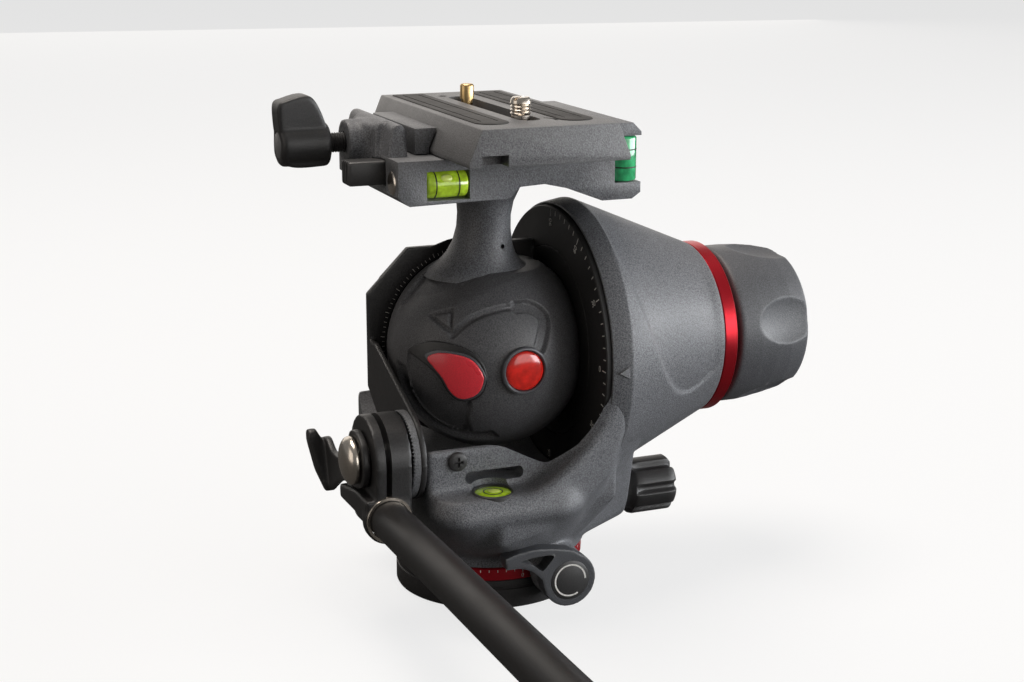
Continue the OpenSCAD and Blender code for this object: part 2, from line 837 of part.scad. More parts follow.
module clamp_body() {
    color("dimgray") at_ball() difference() {
        union() {
            y_drawn(-clamp_half_y, clamp_half_y) clamp_outline();
            // Fixed rail on the right
            y_drawn(-clamp_half_y, clamp_half_y - rail_short) polygon([[rail_x, floor_h],
                [rail_x, floor_h + rail_step], [rail_top_x, rail_top], [clamp_half_x - clamp_edge, rail_top],
                [clamp_half_x, rail_top - clamp_edge], [clamp_half_x, floor_h]]);
            // Wall behind the jaw on the left
            y_drawn(wall_front, wall_back) polygon([[-clamp_half_x, floor_h],
                [-clamp_half_x, rail_top - clamp_edge], [-clamp_half_x + clamp_edge, rail_top + wall_up],
                [-wall_in, rail_top + wall_up], [-wall_in, floor_h]]);
            translate([0, 0, screw_h]) x_rod(clamp_boss_r, -clamp_boss_end, -clamp_half_x + clamp_boss_in);
        }
        translate([0, 0, screw_h]) x_rod(clamp_screw_r + shaft_gap, -far, 0);
        // Seats of the two levels
        translate([front_vial_x - run_gap, -far, front_vial_h - vial_r - vial_gap])
            cube([front_vial_l + 2 * run_gap, far + vial_y + vial_r + seat_gap, 2 * (vial_r + vial_gap)]);
        translate([side_vial_x - vial_r - vial_gap, -far, side_vial_low - vial_gap])
            cube([far, far + vial_y + vial_r + seat_gap, side_vial_l + 2 * vial_gap]);
        // Pocket of the release button and seat of the plug
        translate([-far, button_y - button_half_y - run_gap, button_h - button_half_z - run_gap])
            cube([far - button_pocket, 2 * (button_half_y + run_gap), 2 * (button_half_z + run_gap)]);
        translate([-button_pocket, button_y, button_h]) x_rod(spring_r + spring_gap, -1, spring_in);
        translate([0, plug_y, plug_h]) x_rod(plug_r + seat_gap, -far, -clamp_half_x + plug_l);
    }
}

module front_vial() {
    color("yellowgreen") at_ball() translate([0, vial_y, front_vial_h])
        x_rod(vial_r, front_vial_x, front_vial_x + front_vial_l);
}

module side_vial() {
    color("seagreen") at_ball() translate([side_vial_x, vial_y, side_vial_low])
        cylinder(r = vial_r, h = side_vial_l);
}

module roll_axle() {
    color("silver") at_ball() {
        y_rod(badge_r - roll_head_gap, -ball_r + roll_head_in - roll_head_t, -ball_r + roll_head_in);
        y_rod(roll_r, -ball_r + roll_head_in, roll_seat_y + roll_nut_t + 0.75 * run_gap);
    }
}

module roll_nut() {
    color("silver") at_ball() difference() {
        rotate([-90, 0, 0]) translate([0, 0, roll_seat_y + run_gap])
            cylinder(r = roll_nut_r, h = roll_nut_t, $fn = 6);
        y_rod(roll_r + seat_gap, 0, far);
    }
}

module badge_bezel() {
    color("gray") at_ball() difference() {
        y_rod(badge_r, -ball_r - bezel_out, -ball_r + roll_head_in - roll_head_t);
        y_rod(badge_r - bezel_wall, -far, -ball_r + badge_floor);
    }
}

module badge_dome() {
    color("red") at_ball() intersection() {
        y_rod(badge_r - bezel_wall - seat_gap, -far, -ball_r + badge_floor);
        translate([0, -ball_r - dome_out + dome_sphere_r, 0]) sphere(r = dome_sphere_r);
    }
}

module clamp_plug() {
    color("silver") at_ball() translate([0, plug_y, plug_h])
        x_rod(plug_r, -clamp_half_x - plug_proud, -clamp_half_x + plug_l);
}

// Teardrop with its round end on the lever's axis
module teardrop(r, reach) {
    hull() {
        circle(r = r, $fn = 48);
        rotate(lever_turn) translate([reach - lever_tip_r, 0]) circle(r = lever_tip_r, $fn = 24);
    }
}

// Layer of the mode lever between two radii about the ball's centre
module lever_layer(r_in, r_out, r, reach) {
    intersection() {
        y_drawn(-far, 0) teardrop(r, reach);
        difference() {
            sphere(r = r_out);
            sphere(r = r_in);
        }
    }
}

module mode_lever() {
    color("black") at_lever() difference() {
        lever_layer(ball_r + run_gap, ball_r + run_gap + lever_h / 2, lever_r, lever_reach);
        y_rod(mode_pin_r + seat_gap, -ball_r - run_gap - mode_pin_in, 0);
    }
}

module mode_pin() {
    color("silver") at_lever() y_rod(mode_pin_r, -ball_r - run_gap - mode_pin_in, -ball_r + mode_pin_l);
}

module mode_insert() {
    color("red") at_lever()
        lever_layer(ball_r + run_gap + lever_h / 2 + seat_gap, ball_r + run_gap + lever_h,
            lever_r - insert_edge, lever_reach - insert_short);
}

module roll_lock_pad() {
    color("ivory") at_ball() intersection() {
        rotate([-roll_pad_lean, 0, 0]) y_rod(roll_pad_r, ball_r - roll_pad_l, far);
        sphere(r = ball_r - 0.25 * run_gap);
    }
}

module lock_knob() {
    scoops = 6;
    color("dimgray") at_ball() difference() {
        x_turn([[knob_x, 0], [knob_x, knob_r - knob_edge], [knob_x + knob_edge, knob_r],
            [knob_x + knob_straight, knob_r], [knob_end - knob_shoulder[0], knob_end_r + knob_shoulder[1]],
            [knob_end - knob_brow[0], knob_end_r - knob_brow[1]], [knob_end, knob_end_r - knob_face],
            [knob_end, 0]]);
        for (i = [0 : scoops - 1]) rotate([i * 360 / scoops + scoop_turn, 0, 0])
            translate([knob_end - scoop_back, 0, knob_r + scoop_r - scoop_in]) sphere(r = scoop_r);
        x_rod(spindle_r + seat_gap, 0, far);
    }
}

module knob_spindle() {
    color("silver") at_ball() {
        x_rod(spindle_r, pressure_x + pressure_t + run_gap, knob_end);
        x_rod(knob_tip_r, knob_end, knob_end + knob_tip_l);
    }
}

module pressure_plate() {
    color("gray") at_ball() x_rod(drag_r - pressure_in, pressure_x, pressure_x + pressure_t);
}

module brake_lining() {
    color("tan") at_ball() x_ring(shaft_r, drag_r - 2 * pressure_in, lining_x, pressure_x);
}

module pan_lock_lever() {
    color("gray") translate([lock_x, 0, lock_z]) difference() {
        union() {
            y_rod(lock_r, lock_front, -boss_front - run_gap);
            y_drawn(lock_front, lock_front + lock_arm_t) rotate(lock_turn) difference() {
                hull() {
                    circle(r = lock_r - edge_step, $fn = 48);
                    translate([lock_reach - lock_tip_r, lock_tip_up]) circle(r = lock_tip_r, $fn = 24);
                }
                // Window through the arm
                polygon([[lock_r + window_near, window_up], [lock_reach - window_far, window_mid],
                    [lock_r + window_low_in, -window_low]]);
            }
        }
        y_rod(lock_stem_r + shaft_gap, lock_front + lock_stem_in, 0);
        y_rod(lock_insert_r, -far, lock_front + lock_insert_t);
    }
}

module pan_lock_insert() {
    color("black") translate([lock_x, 0, lock_z])
        y_rod(lock_insert_r - seat_gap, lock_front - lock_insert_proud, lock_front + lock_insert_t);
}

module pan_lock_pad() {
    pad_in_y = -sqrt(pow(pan_ring_r, 2) - pow(lock_x - lock_pad_r, 2)) - run_gap;
    color("ivory") translate([lock_x, 0, lock_z]) {
        y_rod(lock_pad_r, -boss_front + 0.5 * run_gap, pad_in_y);
        y_rod(lock_stem_r, lock_front + lock_stem_in + run_gap, -boss_front + 0.5 * run_gap);
    }
}

module pan_drag_knob() {
    flutes = 7;
    x0 = drag_boss_end + run_gap;
    color("black") translate([0, 0, drag_z]) difference() {
        x_turn([[x0, 0], [x0, drag_knob_r - drag_knob_in], [x0 + drag_knob_flare, drag_knob_r],
            [x0 + drag_knob_l - drag_knob_edge, drag_knob_r], [x0 + drag_knob_l, drag_knob_r - drag_knob_edge],
            [x0 + drag_knob_l, 0]]);
        for (i = [0 : flutes - 1]) rotate([i * 360 / flutes + flute_turn, 0, 0])
            translate([0, 0, drag_knob_r + flute_out]) x_rod(flute_r, x0 + flute_x, far);
        x_rod(clamp_screw_r + seat_gap, 0, x0 + drag_knob_l - drag_knob_bore);
    }
}

module pan_drag_screw() {
    color("silver") translate([0, 0, drag_z])
        x_rod(clamp_screw_r, drag_screw_x + run_gap, drag_boss_end + run_gap + drag_knob_l - drag_knob_bore);
}

module pan_drag_shoe() {
    color("ivory") translate([0, 0, drag_z]) x_rod(drag_shoe_r, axle_r + run_gap, drag_screw_x);
}

module bar_arm() {
    color("dimgray") at_arm() difference() {
        union() {
            x_drawn(arm_out, arm_in) hull() {
                circle(r = arm_hub_r);
                translate([arm_front, arm_bottom]) square([arm_back - arm_front, 2 * (bar_r + arm_wall)]);
            }
            translate([bar_x, 0, -bar_drop])
                y_rod(bar_r + mouth_wall, arm_front - mouth_out, arm_front + mouth_in);
        }
        x_rod(stud_r + shaft_gap, -far, 0);
        translate([bar_x, 0, -bar_drop]) y_rod(bar_r + shaft_gap, -far, bar_back + socket_gap);
        translate([bar_x - arm_slit / 2, -far / 2, -bar_drop]) cube([arm_slit, far, far]);
        // Step that the lever lies on
        x_drawn(-far, arm_hub_out) polygon([[-far, far], [-far, -arm_step[0]], [0, -arm_step[0]],
            [arm_back + 1, -arm_step[1]], [arm_back + 1, far]]);
    }
}

module arm_lever() {
    color("black") translate([0, -rosette_y, tilt_z - rosette_drop]) difference() {
        union() {
            x_drawn(arm_lever_out, arm_lever_in) hull() {
                circle(r = arm_lever_r, $fn = 48);
                translate(arm_tip) circle(r = arm_tip_r - edge_step, $fn = 32);
            }
            // Upright fin at the tip
            x_drawn(arm_lever_out - arm_tip_out, arm_lever_in) hull() for (drop = [0, arm_tip_low])
                translate([arm_tip[0], arm_tip[1] - drop]) circle(r = arm_tip_r, $fn = 32);
        }
        x_rod(stud_r + shaft_gap, -far, 0);
    }
}

module pan_bar() {
    color("black") at_arm() translate([bar_x, 0, -bar_drop]) difference() {
        y_rod(bar_r, bar_back - bar_l, bar_back);
        y_rod(bar_r - bar_wall, bar_back - bar_l - 1, bar_back - bar_solid);
    }
}

module bar_grip() {
    color("black") at_arm() translate([bar_x, 0, -bar_drop]) difference() {
        rotate([90, 0, 0]) rotate_extrude() polygon([[0, bar_l - bar_back - grip_l],
            [grip_r - grip_neck[0], bar_l - bar_back - grip_l],
            [grip_r, bar_l - bar_back - grip_l + grip_neck[1]], [grip_r, bar_l - bar_back],
            [grip_r - grip_edge, bar_l - bar_back + grip_end],
            [0, bar_l - bar_back + grip_end]]);
        y_rod(bar_r + seat_gap, bar_back - bar_l, bar_back);
    }
}

// Outline of the camera plate seen from its end
module plate_outline() {
    polygon([[-plate_half_x, plate_bottom], [-plate_half_x, plate_bottom + plate_edge],
        [-plate_top_x, plate_top], [plate_top_x, plate_top], [plate_half_x, plate_bottom + plate_edge],
        [plate_half_x, plate_bottom]]);
}

// Slot along Y with round ends, from z0 to z1
module slot(r, z0, z1) {
    translate([0, 0, z0]) {
        for (y = [slot_front, slot_back]) translate([0, y, 0]) cylinder(r = r, h = z1 - z0);
        translate([-r, slot_front, 0]) cube([2 * r, slot_back - slot_front, z1 - z0]);
    }
}

// Rubber strip's outline on one side of the plate, grown by g
module pad_outline(g) {
    w = pad_out - pad_in;
    y0 = -plate_front + pad_front;
    y1 = plate_l - plate_front - pad_back;
    translate([pad_in - g, y0 + w / 2]) square([w + 2 * g, y1 - y0 - w / 2 + g]);
    translate([pad_in + w / 2, y0 + w / 2]) circle(r = w / 2 + g);
}

module camera_plate() {
    color("dimgray") at_ball() difference() {
        y_drawn(-plate_front, plate_l - plate_front) plate_outline();
        slot(slot_r, 0, far);
        slot(slot_head_r, 0, plate_bottom + slot_head_t);
        for (s = [0, 1]) mirror([s, 0, 0]) translate([0, 0, plate_top - pad_depth])
            linear_extrude(far) pad_outline(seat_gap);
        translate([-plate_top_x, -far, 0])
            cube([notch[0], far - plate_front + notch[1], plate_bottom + notch[2]]);
    }
}

module plate_pads() {
    color("black") at_ball() for (s = [0, 1]) mirror([s, 0, 0])
        translate([0, 0, plate_top - pad_depth]) linear_extrude(pad_t) pad_outline(0);
}

module camera_screw() {
    color("silver") at_ball() translate([0, screw_y, 0]) {
        cylinder_from(slot_head_r - run_gap, plate_bottom + head_up, head_top);
        cylinder_from(camera_r - neck_step, head_top, pin_foot);
        cylinder_from(camera_r, pin_foot, plate_top + camera_out);
    }
}

// Upright cylinder from z0 to z1
module cylinder_from(r, z0, z1) {
    translate([0, 0, z0]) cylinder(r = r, h = z1 - z0);
}

module anti_twist_pin() {
    color("darkgoldenrod") at_ball() translate([0, pin_y, 0]) {
        cylinder_from(pin_r + pin_head_out, plate_bottom + head_up, head_top);
        cylinder_from(pin_r - neck_step, head_top, pin_foot);
        cylinder_from(pin_r, pin_foot, plate_top + camera_out - pin_short);
    }
}

module clamp_knob() {
    x0 = -clamp_knob_x;
    x1 = -clamp_knob_x - clamp_knob_l;
    color("black") at_ball() translate([0, 0, screw_h]) difference() {
        union() {
            x_rod(clamp_knob_r, x1, x0);
            y_drawn(-clamp_knob_t / 2, clamp_knob_t / 2) polygon([[x1, 0],
                [x1 - wing_lean, clamp_knob_up - wing_back[0]],
                [x1 + wing_back[1], clamp_knob_up - wing_edge], [x0 - wing_top, clamp_knob_up],
                [x0 - wing_front[0], clamp_knob_up - wing_front[1]], [x0, 0]]);
        }
        x_rod(clamp_screw_r + seat_gap, x1 + clamp_knob_seat, 0);
    }
}

module clamp_screw() {
    color("black") at_ball() translate([0, 0, screw_h])
        x_rod(clamp_screw_r, -clamp_knob_x - clamp_knob_l + clamp_knob_seat, -jaw_back - 0.5 * run_gap);
}

module clamp_jaw() {
    color("dimgray") at_ball() difference() {
        y_drawn(jaw_front, jaw_rear) polygon([[-rail_x, floor_h + jaw_low], [-rail_x, floor_h + rail_step],
            [-rail_top_x, rail_top], [-jaw_back, rail_top], [-jaw_back, floor_h + jaw_low]]);
        translate([0, 0, screw_h]) x_rod(clamp_screw_r + shaft_gap, -far, -jaw_back + jaw_travel + jaw_bore_in);
    }
}

module release_button() {
    color("black") at_ball() translate([-button_out, button_y - button_half_y, button_h - button_half_z])
        cube([button_out - button_in, 2 * button_half_y, 2 * button_half_z]);
}

module button_spring() {
    color("silver") at_ball() translate([0, button_y, button_h])
        x_ring(spring_r - spring_wire, spring_r, -button_in, -button_pocket + spring_in);
}

base_disc();
pan_axle();
pan_scale_ring();
pan_washer();
pan_nut();
housing();
cone_cap();
cone_ring();
knob_collar();
inner_bush();
outer_bush();
bullseye_cup();
bullseye_lens();
shelf_screw();
tilt_carrier();
tilt_scale_ring();
tilt_shaft();
drag_disc();
rosette();
arm_stud();
dome_nut();
ball();
neck();
clamp_body();
front_vial();
side_vial();
roll_axle();
roll_nut();
badge_bezel();
badge_dome();
clamp_plug();
mode_lever();
mode_pin();
mode_insert();
roll_lock_pad();
lock_knob();
knob_spindle();
pressure_plate();
brake_lining();
pan_lock_lever();
pan_lock_insert();
pan_lock_pad();
pan_drag_knob();
pan_drag_screw();
pan_drag_shoe();
bar_arm();
arm_lever();
pan_bar();
bar_grip();
camera_plate();
plate_pads();
camera_screw();
anti_twist_pin();
clamp_knob();
clamp_screw();
clamp_jaw();
release_button();
button_spring();
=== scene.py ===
"""Dresses the photo and video tripod head: castings, scales, levels, knobs, pan bar and camera plate."""
import logging
import math
from dataclasses import dataclass
from enum import Enum
from typing import Callable, Sequence

import bmesh
import bpy
import numpy as np
from bmesh.types import BMesh
from mathutils import Matrix, Vector


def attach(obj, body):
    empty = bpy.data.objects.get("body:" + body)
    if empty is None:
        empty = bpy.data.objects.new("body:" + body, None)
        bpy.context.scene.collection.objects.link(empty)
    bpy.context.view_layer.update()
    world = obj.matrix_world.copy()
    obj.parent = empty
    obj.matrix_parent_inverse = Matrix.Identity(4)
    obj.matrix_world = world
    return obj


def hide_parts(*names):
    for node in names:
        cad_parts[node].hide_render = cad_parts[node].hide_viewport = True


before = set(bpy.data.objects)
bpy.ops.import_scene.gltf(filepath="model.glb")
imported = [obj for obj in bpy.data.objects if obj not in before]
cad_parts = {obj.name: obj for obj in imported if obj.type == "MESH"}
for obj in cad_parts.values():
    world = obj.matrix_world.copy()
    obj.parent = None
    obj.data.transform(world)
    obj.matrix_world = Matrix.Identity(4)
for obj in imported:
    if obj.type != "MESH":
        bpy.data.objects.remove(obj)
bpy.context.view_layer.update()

LOG = logging.getLogger("head")
# Sizes below are in millimetres, and pieces are scaled to metres when they are placed
MM = 0.001
MERGE = 0.001
Pair = tuple[float, float]
Triple = tuple[float, float, float]
Section = tuple[float, float, float, float]

# Heights, radii and places that several sub-assemblies share
TILT_Z = 78.2
BALL_R = 32.0
ORIGIN: Triple = (0.0, 0.0, 0.0)
TILT: Triple = (0.0, 0.0, TILT_Z)
STUD: Pair = (-23.5, 53.5)
LOCK_AXIS: Triple = (11.0, 0.0, 12.5)
DRAG_AXIS: Triple = (0.0, 0.0, 24.0)


class Axis(Enum):
    """Direction that a turned, drawn or round shape runs along."""

    X = 0
    Y = 1
    Z = 2

    def spot(self, along: float, a: float, b: float) -> Vector:
        """Point at a distance along this axis, with the other two coordinates in order."""
        others = [a, b]
        return Vector([along if i == self.value else others.pop(0) for i in range(3)])


class Cut(Enum):
    """Ways in which one solid is combined with another."""

    AWAY = "DIFFERENCE"
    JOIN = "UNION"
    SHARE = "INTERSECT"


def arc(centre: Pair, radius: float, start: float, end: float, steps: int = 8) -> list[Pair]:
    """Points on an arc, from one angle to another.

    Args:
        centre: Middle of the arc.
        radius: Its radius.
        start: First angle, in degrees.
        end: Last angle, in degrees.
        steps: Number of stretches.

    Returns:
        The points in order.
    """
    angles = [math.radians(start + (end - start) * i / steps) for i in range(steps + 1)]
    return [(centre[0] + radius * math.cos(a), centre[1] + radius * math.sin(a)) for a in angles]


def curve_through(points: Sequence[Pair], steps: int = 5, closed: bool = True) -> list[Pair]:
    """Smooth line through a few points.

    Args:
        points: Points that the line passes.
        steps: Stretches between two points.
        closed: Whether the line returns to its start.

    Returns:
        The line's points.
    """
    count = len(points)
    line: list[Pair] = []
    for i in range(count if closed else count - 1):
        p = [Vector(points[(i + k) % count] if closed else points[min(max(i + k, 0), count - 1)])
             for k in (-1, 0, 1, 2)]
        for j in range(steps):
            t = j / steps
            spot = (p[1] * 2 + (p[2] - p[0]) * t + (p[0] * 2 - p[1] * 5 + p[2] * 4 - p[3]) * t ** 2
                    + (p[1] * 3 - p[0] - p[2] * 3 + p[3]) * t ** 3) / 2
            line.append((spot.x, spot.y))
    if not closed:
        line.append(tuple(points[-1]))
    return line


def settled(bm: BMesh, centre: Triple = ORIGIN) -> BMesh:
    """Merges doubles, turns the faces outwards and moves the shape to its centre."""
    bmesh.ops.remove_doubles(bm, verts=bm.verts[:], dist=MERGE)
    bmesh.ops.recalc_face_normals(bm, faces=bm.faces[:])
    bmesh.ops.translate(bm, verts=bm.verts[:], vec=centre)
    return bm


def turned(profile: Sequence[Pair], axis: Axis, centre: Triple = ORIGIN, steps: int = 96) -> BMesh:
    """Solid turned about an axis.

    Args:
        profile: Distances along the axis, with their radii.
        axis: The axis.
        centre: A point on it.
        steps: Facets round the axis.

    Returns:
        The closed solid.
    """
    bm = bmesh.new()
    verts = [bm.verts.new(axis.spot(along, radius, 0.0)) for along, radius in profile]
    edges = [bm.edges.new(pair) for pair in zip(verts, verts[1:])]
    if min(profile[0][1], profile[-1][1]) > MERGE:
        edges.append(bm.edges.new((verts[-1], verts[0])))
    bmesh.ops.spin(bm, geom=verts + edges, cent=ORIGIN, axis=axis.spot(1.0, 0.0, 0.0), dvec=ORIGIN,
                   angle=math.tau, steps=steps, use_merge=True)
    return settled(bm, centre)


def drawn(outline: Sequence[Pair], axis: Axis, low: float, high: float) -> BMesh:
    """Outline drawn out along an axis, from low to high."""
    bm = bmesh.new()
    face = bm.faces.new([bm.verts.new(axis.spot(low, a, b)) for a, b in outline])
    grown = bmesh.ops.extrude_face_region(bm, geom=[face])["geom"]
    far_end = [g for g in grown if isinstance(g, bmesh.types.BMVert)]
    bmesh.ops.translate(bm, verts=far_end, vec=axis.spot(high - low, 0.0, 0.0))
    return settled(bm)


def rod(axis: Axis, radius: float, low: float, high: float, centre: Triple = ORIGIN,
        steps: int = 64) -> BMesh:
    """Plain round rod along an axis."""
    return turned([(low, 0.0), (low, radius), (high, radius), (high, 0.0)], axis, centre, steps)


def block(low: Triple, high: Triple) -> BMesh:
    """Box between two corners."""
    bm = bmesh.new()
    bmesh.ops.create_cube(bm, size=1.0)
    bmesh.ops.scale(bm, verts=bm.verts[:], vec=Vector(high) - Vector(low))
    bmesh.ops.translate(bm, verts=bm.verts[:], vec=(Vector(high) + Vector(low)) / 2)
    return bm


def globe(radius: float, centre: Triple, steps: int = 64) -> BMesh:
    """Sphere about a point."""
    bm = bmesh.new()
    bmesh.ops.create_uvsphere(bm, u_segments=steps, v_segments=steps // 2, radius=radius)
    bmesh.ops.translate(bm, verts=bm.verts[:], vec=centre)
    return bm


def fused(*parts: BMesh) -> BMesh:
    """Several shapes as the shells of one."""
    whole = bmesh.new()
    for part in parts:
        mesh = bpy.data.meshes.new("shop")
        part.to_mesh(mesh)
        part.free()
        whole.from_mesh(mesh)
        bpy.data.meshes.remove(mesh)
    return whole


def hull_of(*parts: BMesh) -> BMesh:
    """Skin stretched over several shapes."""
    spots = [v.co.copy() for part in parts for v in part.verts]
    for part in parts:
        part.free()
    bm = bmesh.new()
    for spot in spots:
        bm.verts.new(spot)
    bmesh.ops.remove_doubles(bm, verts=bm.verts[:], dist=MERGE)
    bmesh.ops.convex_hull(bm, input=bm.verts[:])
    bmesh.ops.delete(bm, geom=[v for v in bm.verts if not v.link_faces], context="VERTS")
    return settled(bm)


def moved(bm: BMesh, matrix: Matrix) -> BMesh:
    """Shape carried by a matrix."""
    bmesh.ops.transform(bm, matrix=matrix, verts=bm.verts[:])
    return bm


def rounded(bm: BMesh, width: float, segments: int = 2, sharper: float = 30.0) -> BMesh:
    """Rounds every edge that is sharper than an angle in degrees."""
    edges = [e for e in bm.edges if len(e.link_faces) == 2 and e.calc_face_angle() > math.radians(sharper)]
    bmesh.ops.bevel(bm, geom=edges, offset=width, offset_type="OFFSET", segments=segments, profile=0.5,
                    affect="EDGES", material=-1, clamp_overlap=True)
    return bm


def on_bench(bm: BMesh) -> bpy.types.Object:
    """Puts a shape on the bench as an object that modifiers can work on."""
    mesh = bpy.data.meshes.new("shop")
    bm.to_mesh(mesh)
    bm.free()
    obj = bpy.data.objects.new("shop", mesh)
    bpy.context.scene.collection.objects.link(obj)
    return obj


def off_bench(obj: bpy.types.Object) -> BMesh:
    """Takes the modified shape off the bench and clears it."""
    graph = bpy.context.evaluated_depsgraph_get()
    result = obj.evaluated_get(graph)
    bm = bmesh.new()
    bm.from_mesh(result.to_mesh())
    result.to_mesh_clear()
    data = obj.data
    bpy.data.objects.remove(obj)
    if isinstance(data, bpy.types.Mesh):
        bpy.data.meshes.remove(data)
    else:
        bpy.data.curves.remove(data)
    return bm


def combined(bm: BMesh, tool: BMesh, cut: Cut = Cut.AWAY) -> BMesh:
    """One solid combined with another.

    Args:
        bm: Solid that is kept.
        tool: Solid that works on it.
        cut: What the tool does.

    Returns:
        The result.
    """
    obj, other = on_bench(bm), on_bench(tool)
    modifier = obj.modifiers.new("cut", "BOOLEAN")
    modifier.operation = cut.value
    modifier.solver = "MANIFOLD"
    modifier.object = other
    result = off_bench(obj)
    off_bench(other).free()
    return result


def carved(bm: BMesh, *tools: BMesh) -> BMesh:
    """Solid with every tool cut away."""
    for tool in tools:
        bm = combined(bm, tool)
    return bm


def melted(bm: BMesh, voxel: float, rounds: int) -> BMesh:
    """Overlapping solids run together into one cast form.

    Args:
        bm: The solids.
        voxel: Size of the grid that they are cast on.
        rounds: How often the skin is smoothed.

    Returns:
        The casting.
    """
    obj = on_bench(bm)
    modifier = obj.modifiers.new("cast", "REMESH")
    modifier.mode = "VOXEL"
    modifier.voxel_size = voxel
    cast = off_bench(obj)
    for _ in range(rounds):
        bmesh.ops.smooth_vert(cast, verts=cast.verts[:], factor=0.5, use_axis_x=True, use_axis_y=True,
                              use_axis_z=True)
    return cast


def reshaped(bm: BMesh, rule: Callable[[np.ndarray], np.ndarray]) -> BMesh:
    """Moves every vertex of a shape by a rule on the whole array of points."""
    spots = np.array([v.co for v in bm.verts])
    for vert, spot in zip(bm.verts, rule(spots)):
        vert.co = spot
    return bm


def numeral(text: str, height: float, depth: float) -> BMesh:
    """Plain printed number, lying in X and Y about the origin."""
    curve = bpy.data.curves.new("number", "FONT")
    curve.body = text
    curve.size = height / 0.7
    curve.extrude = depth / 2
    curve.align_x = "CENTER"
    curve.align_y = "CENTER"
    obj = bpy.data.objects.new("number", curve)
    bpy.context.scene.collection.objects.link(obj)
    return off_bench(obj)


def smooth_step(value: np.ndarray, low: float, high: float) -> np.ndarray:
    """Eased step from 0 at low to 1 at high."""
    t = np.clip((value - low) / (high - low), 0.0, 1.0)
    return t * t * (3.0 - 2.0 * t)


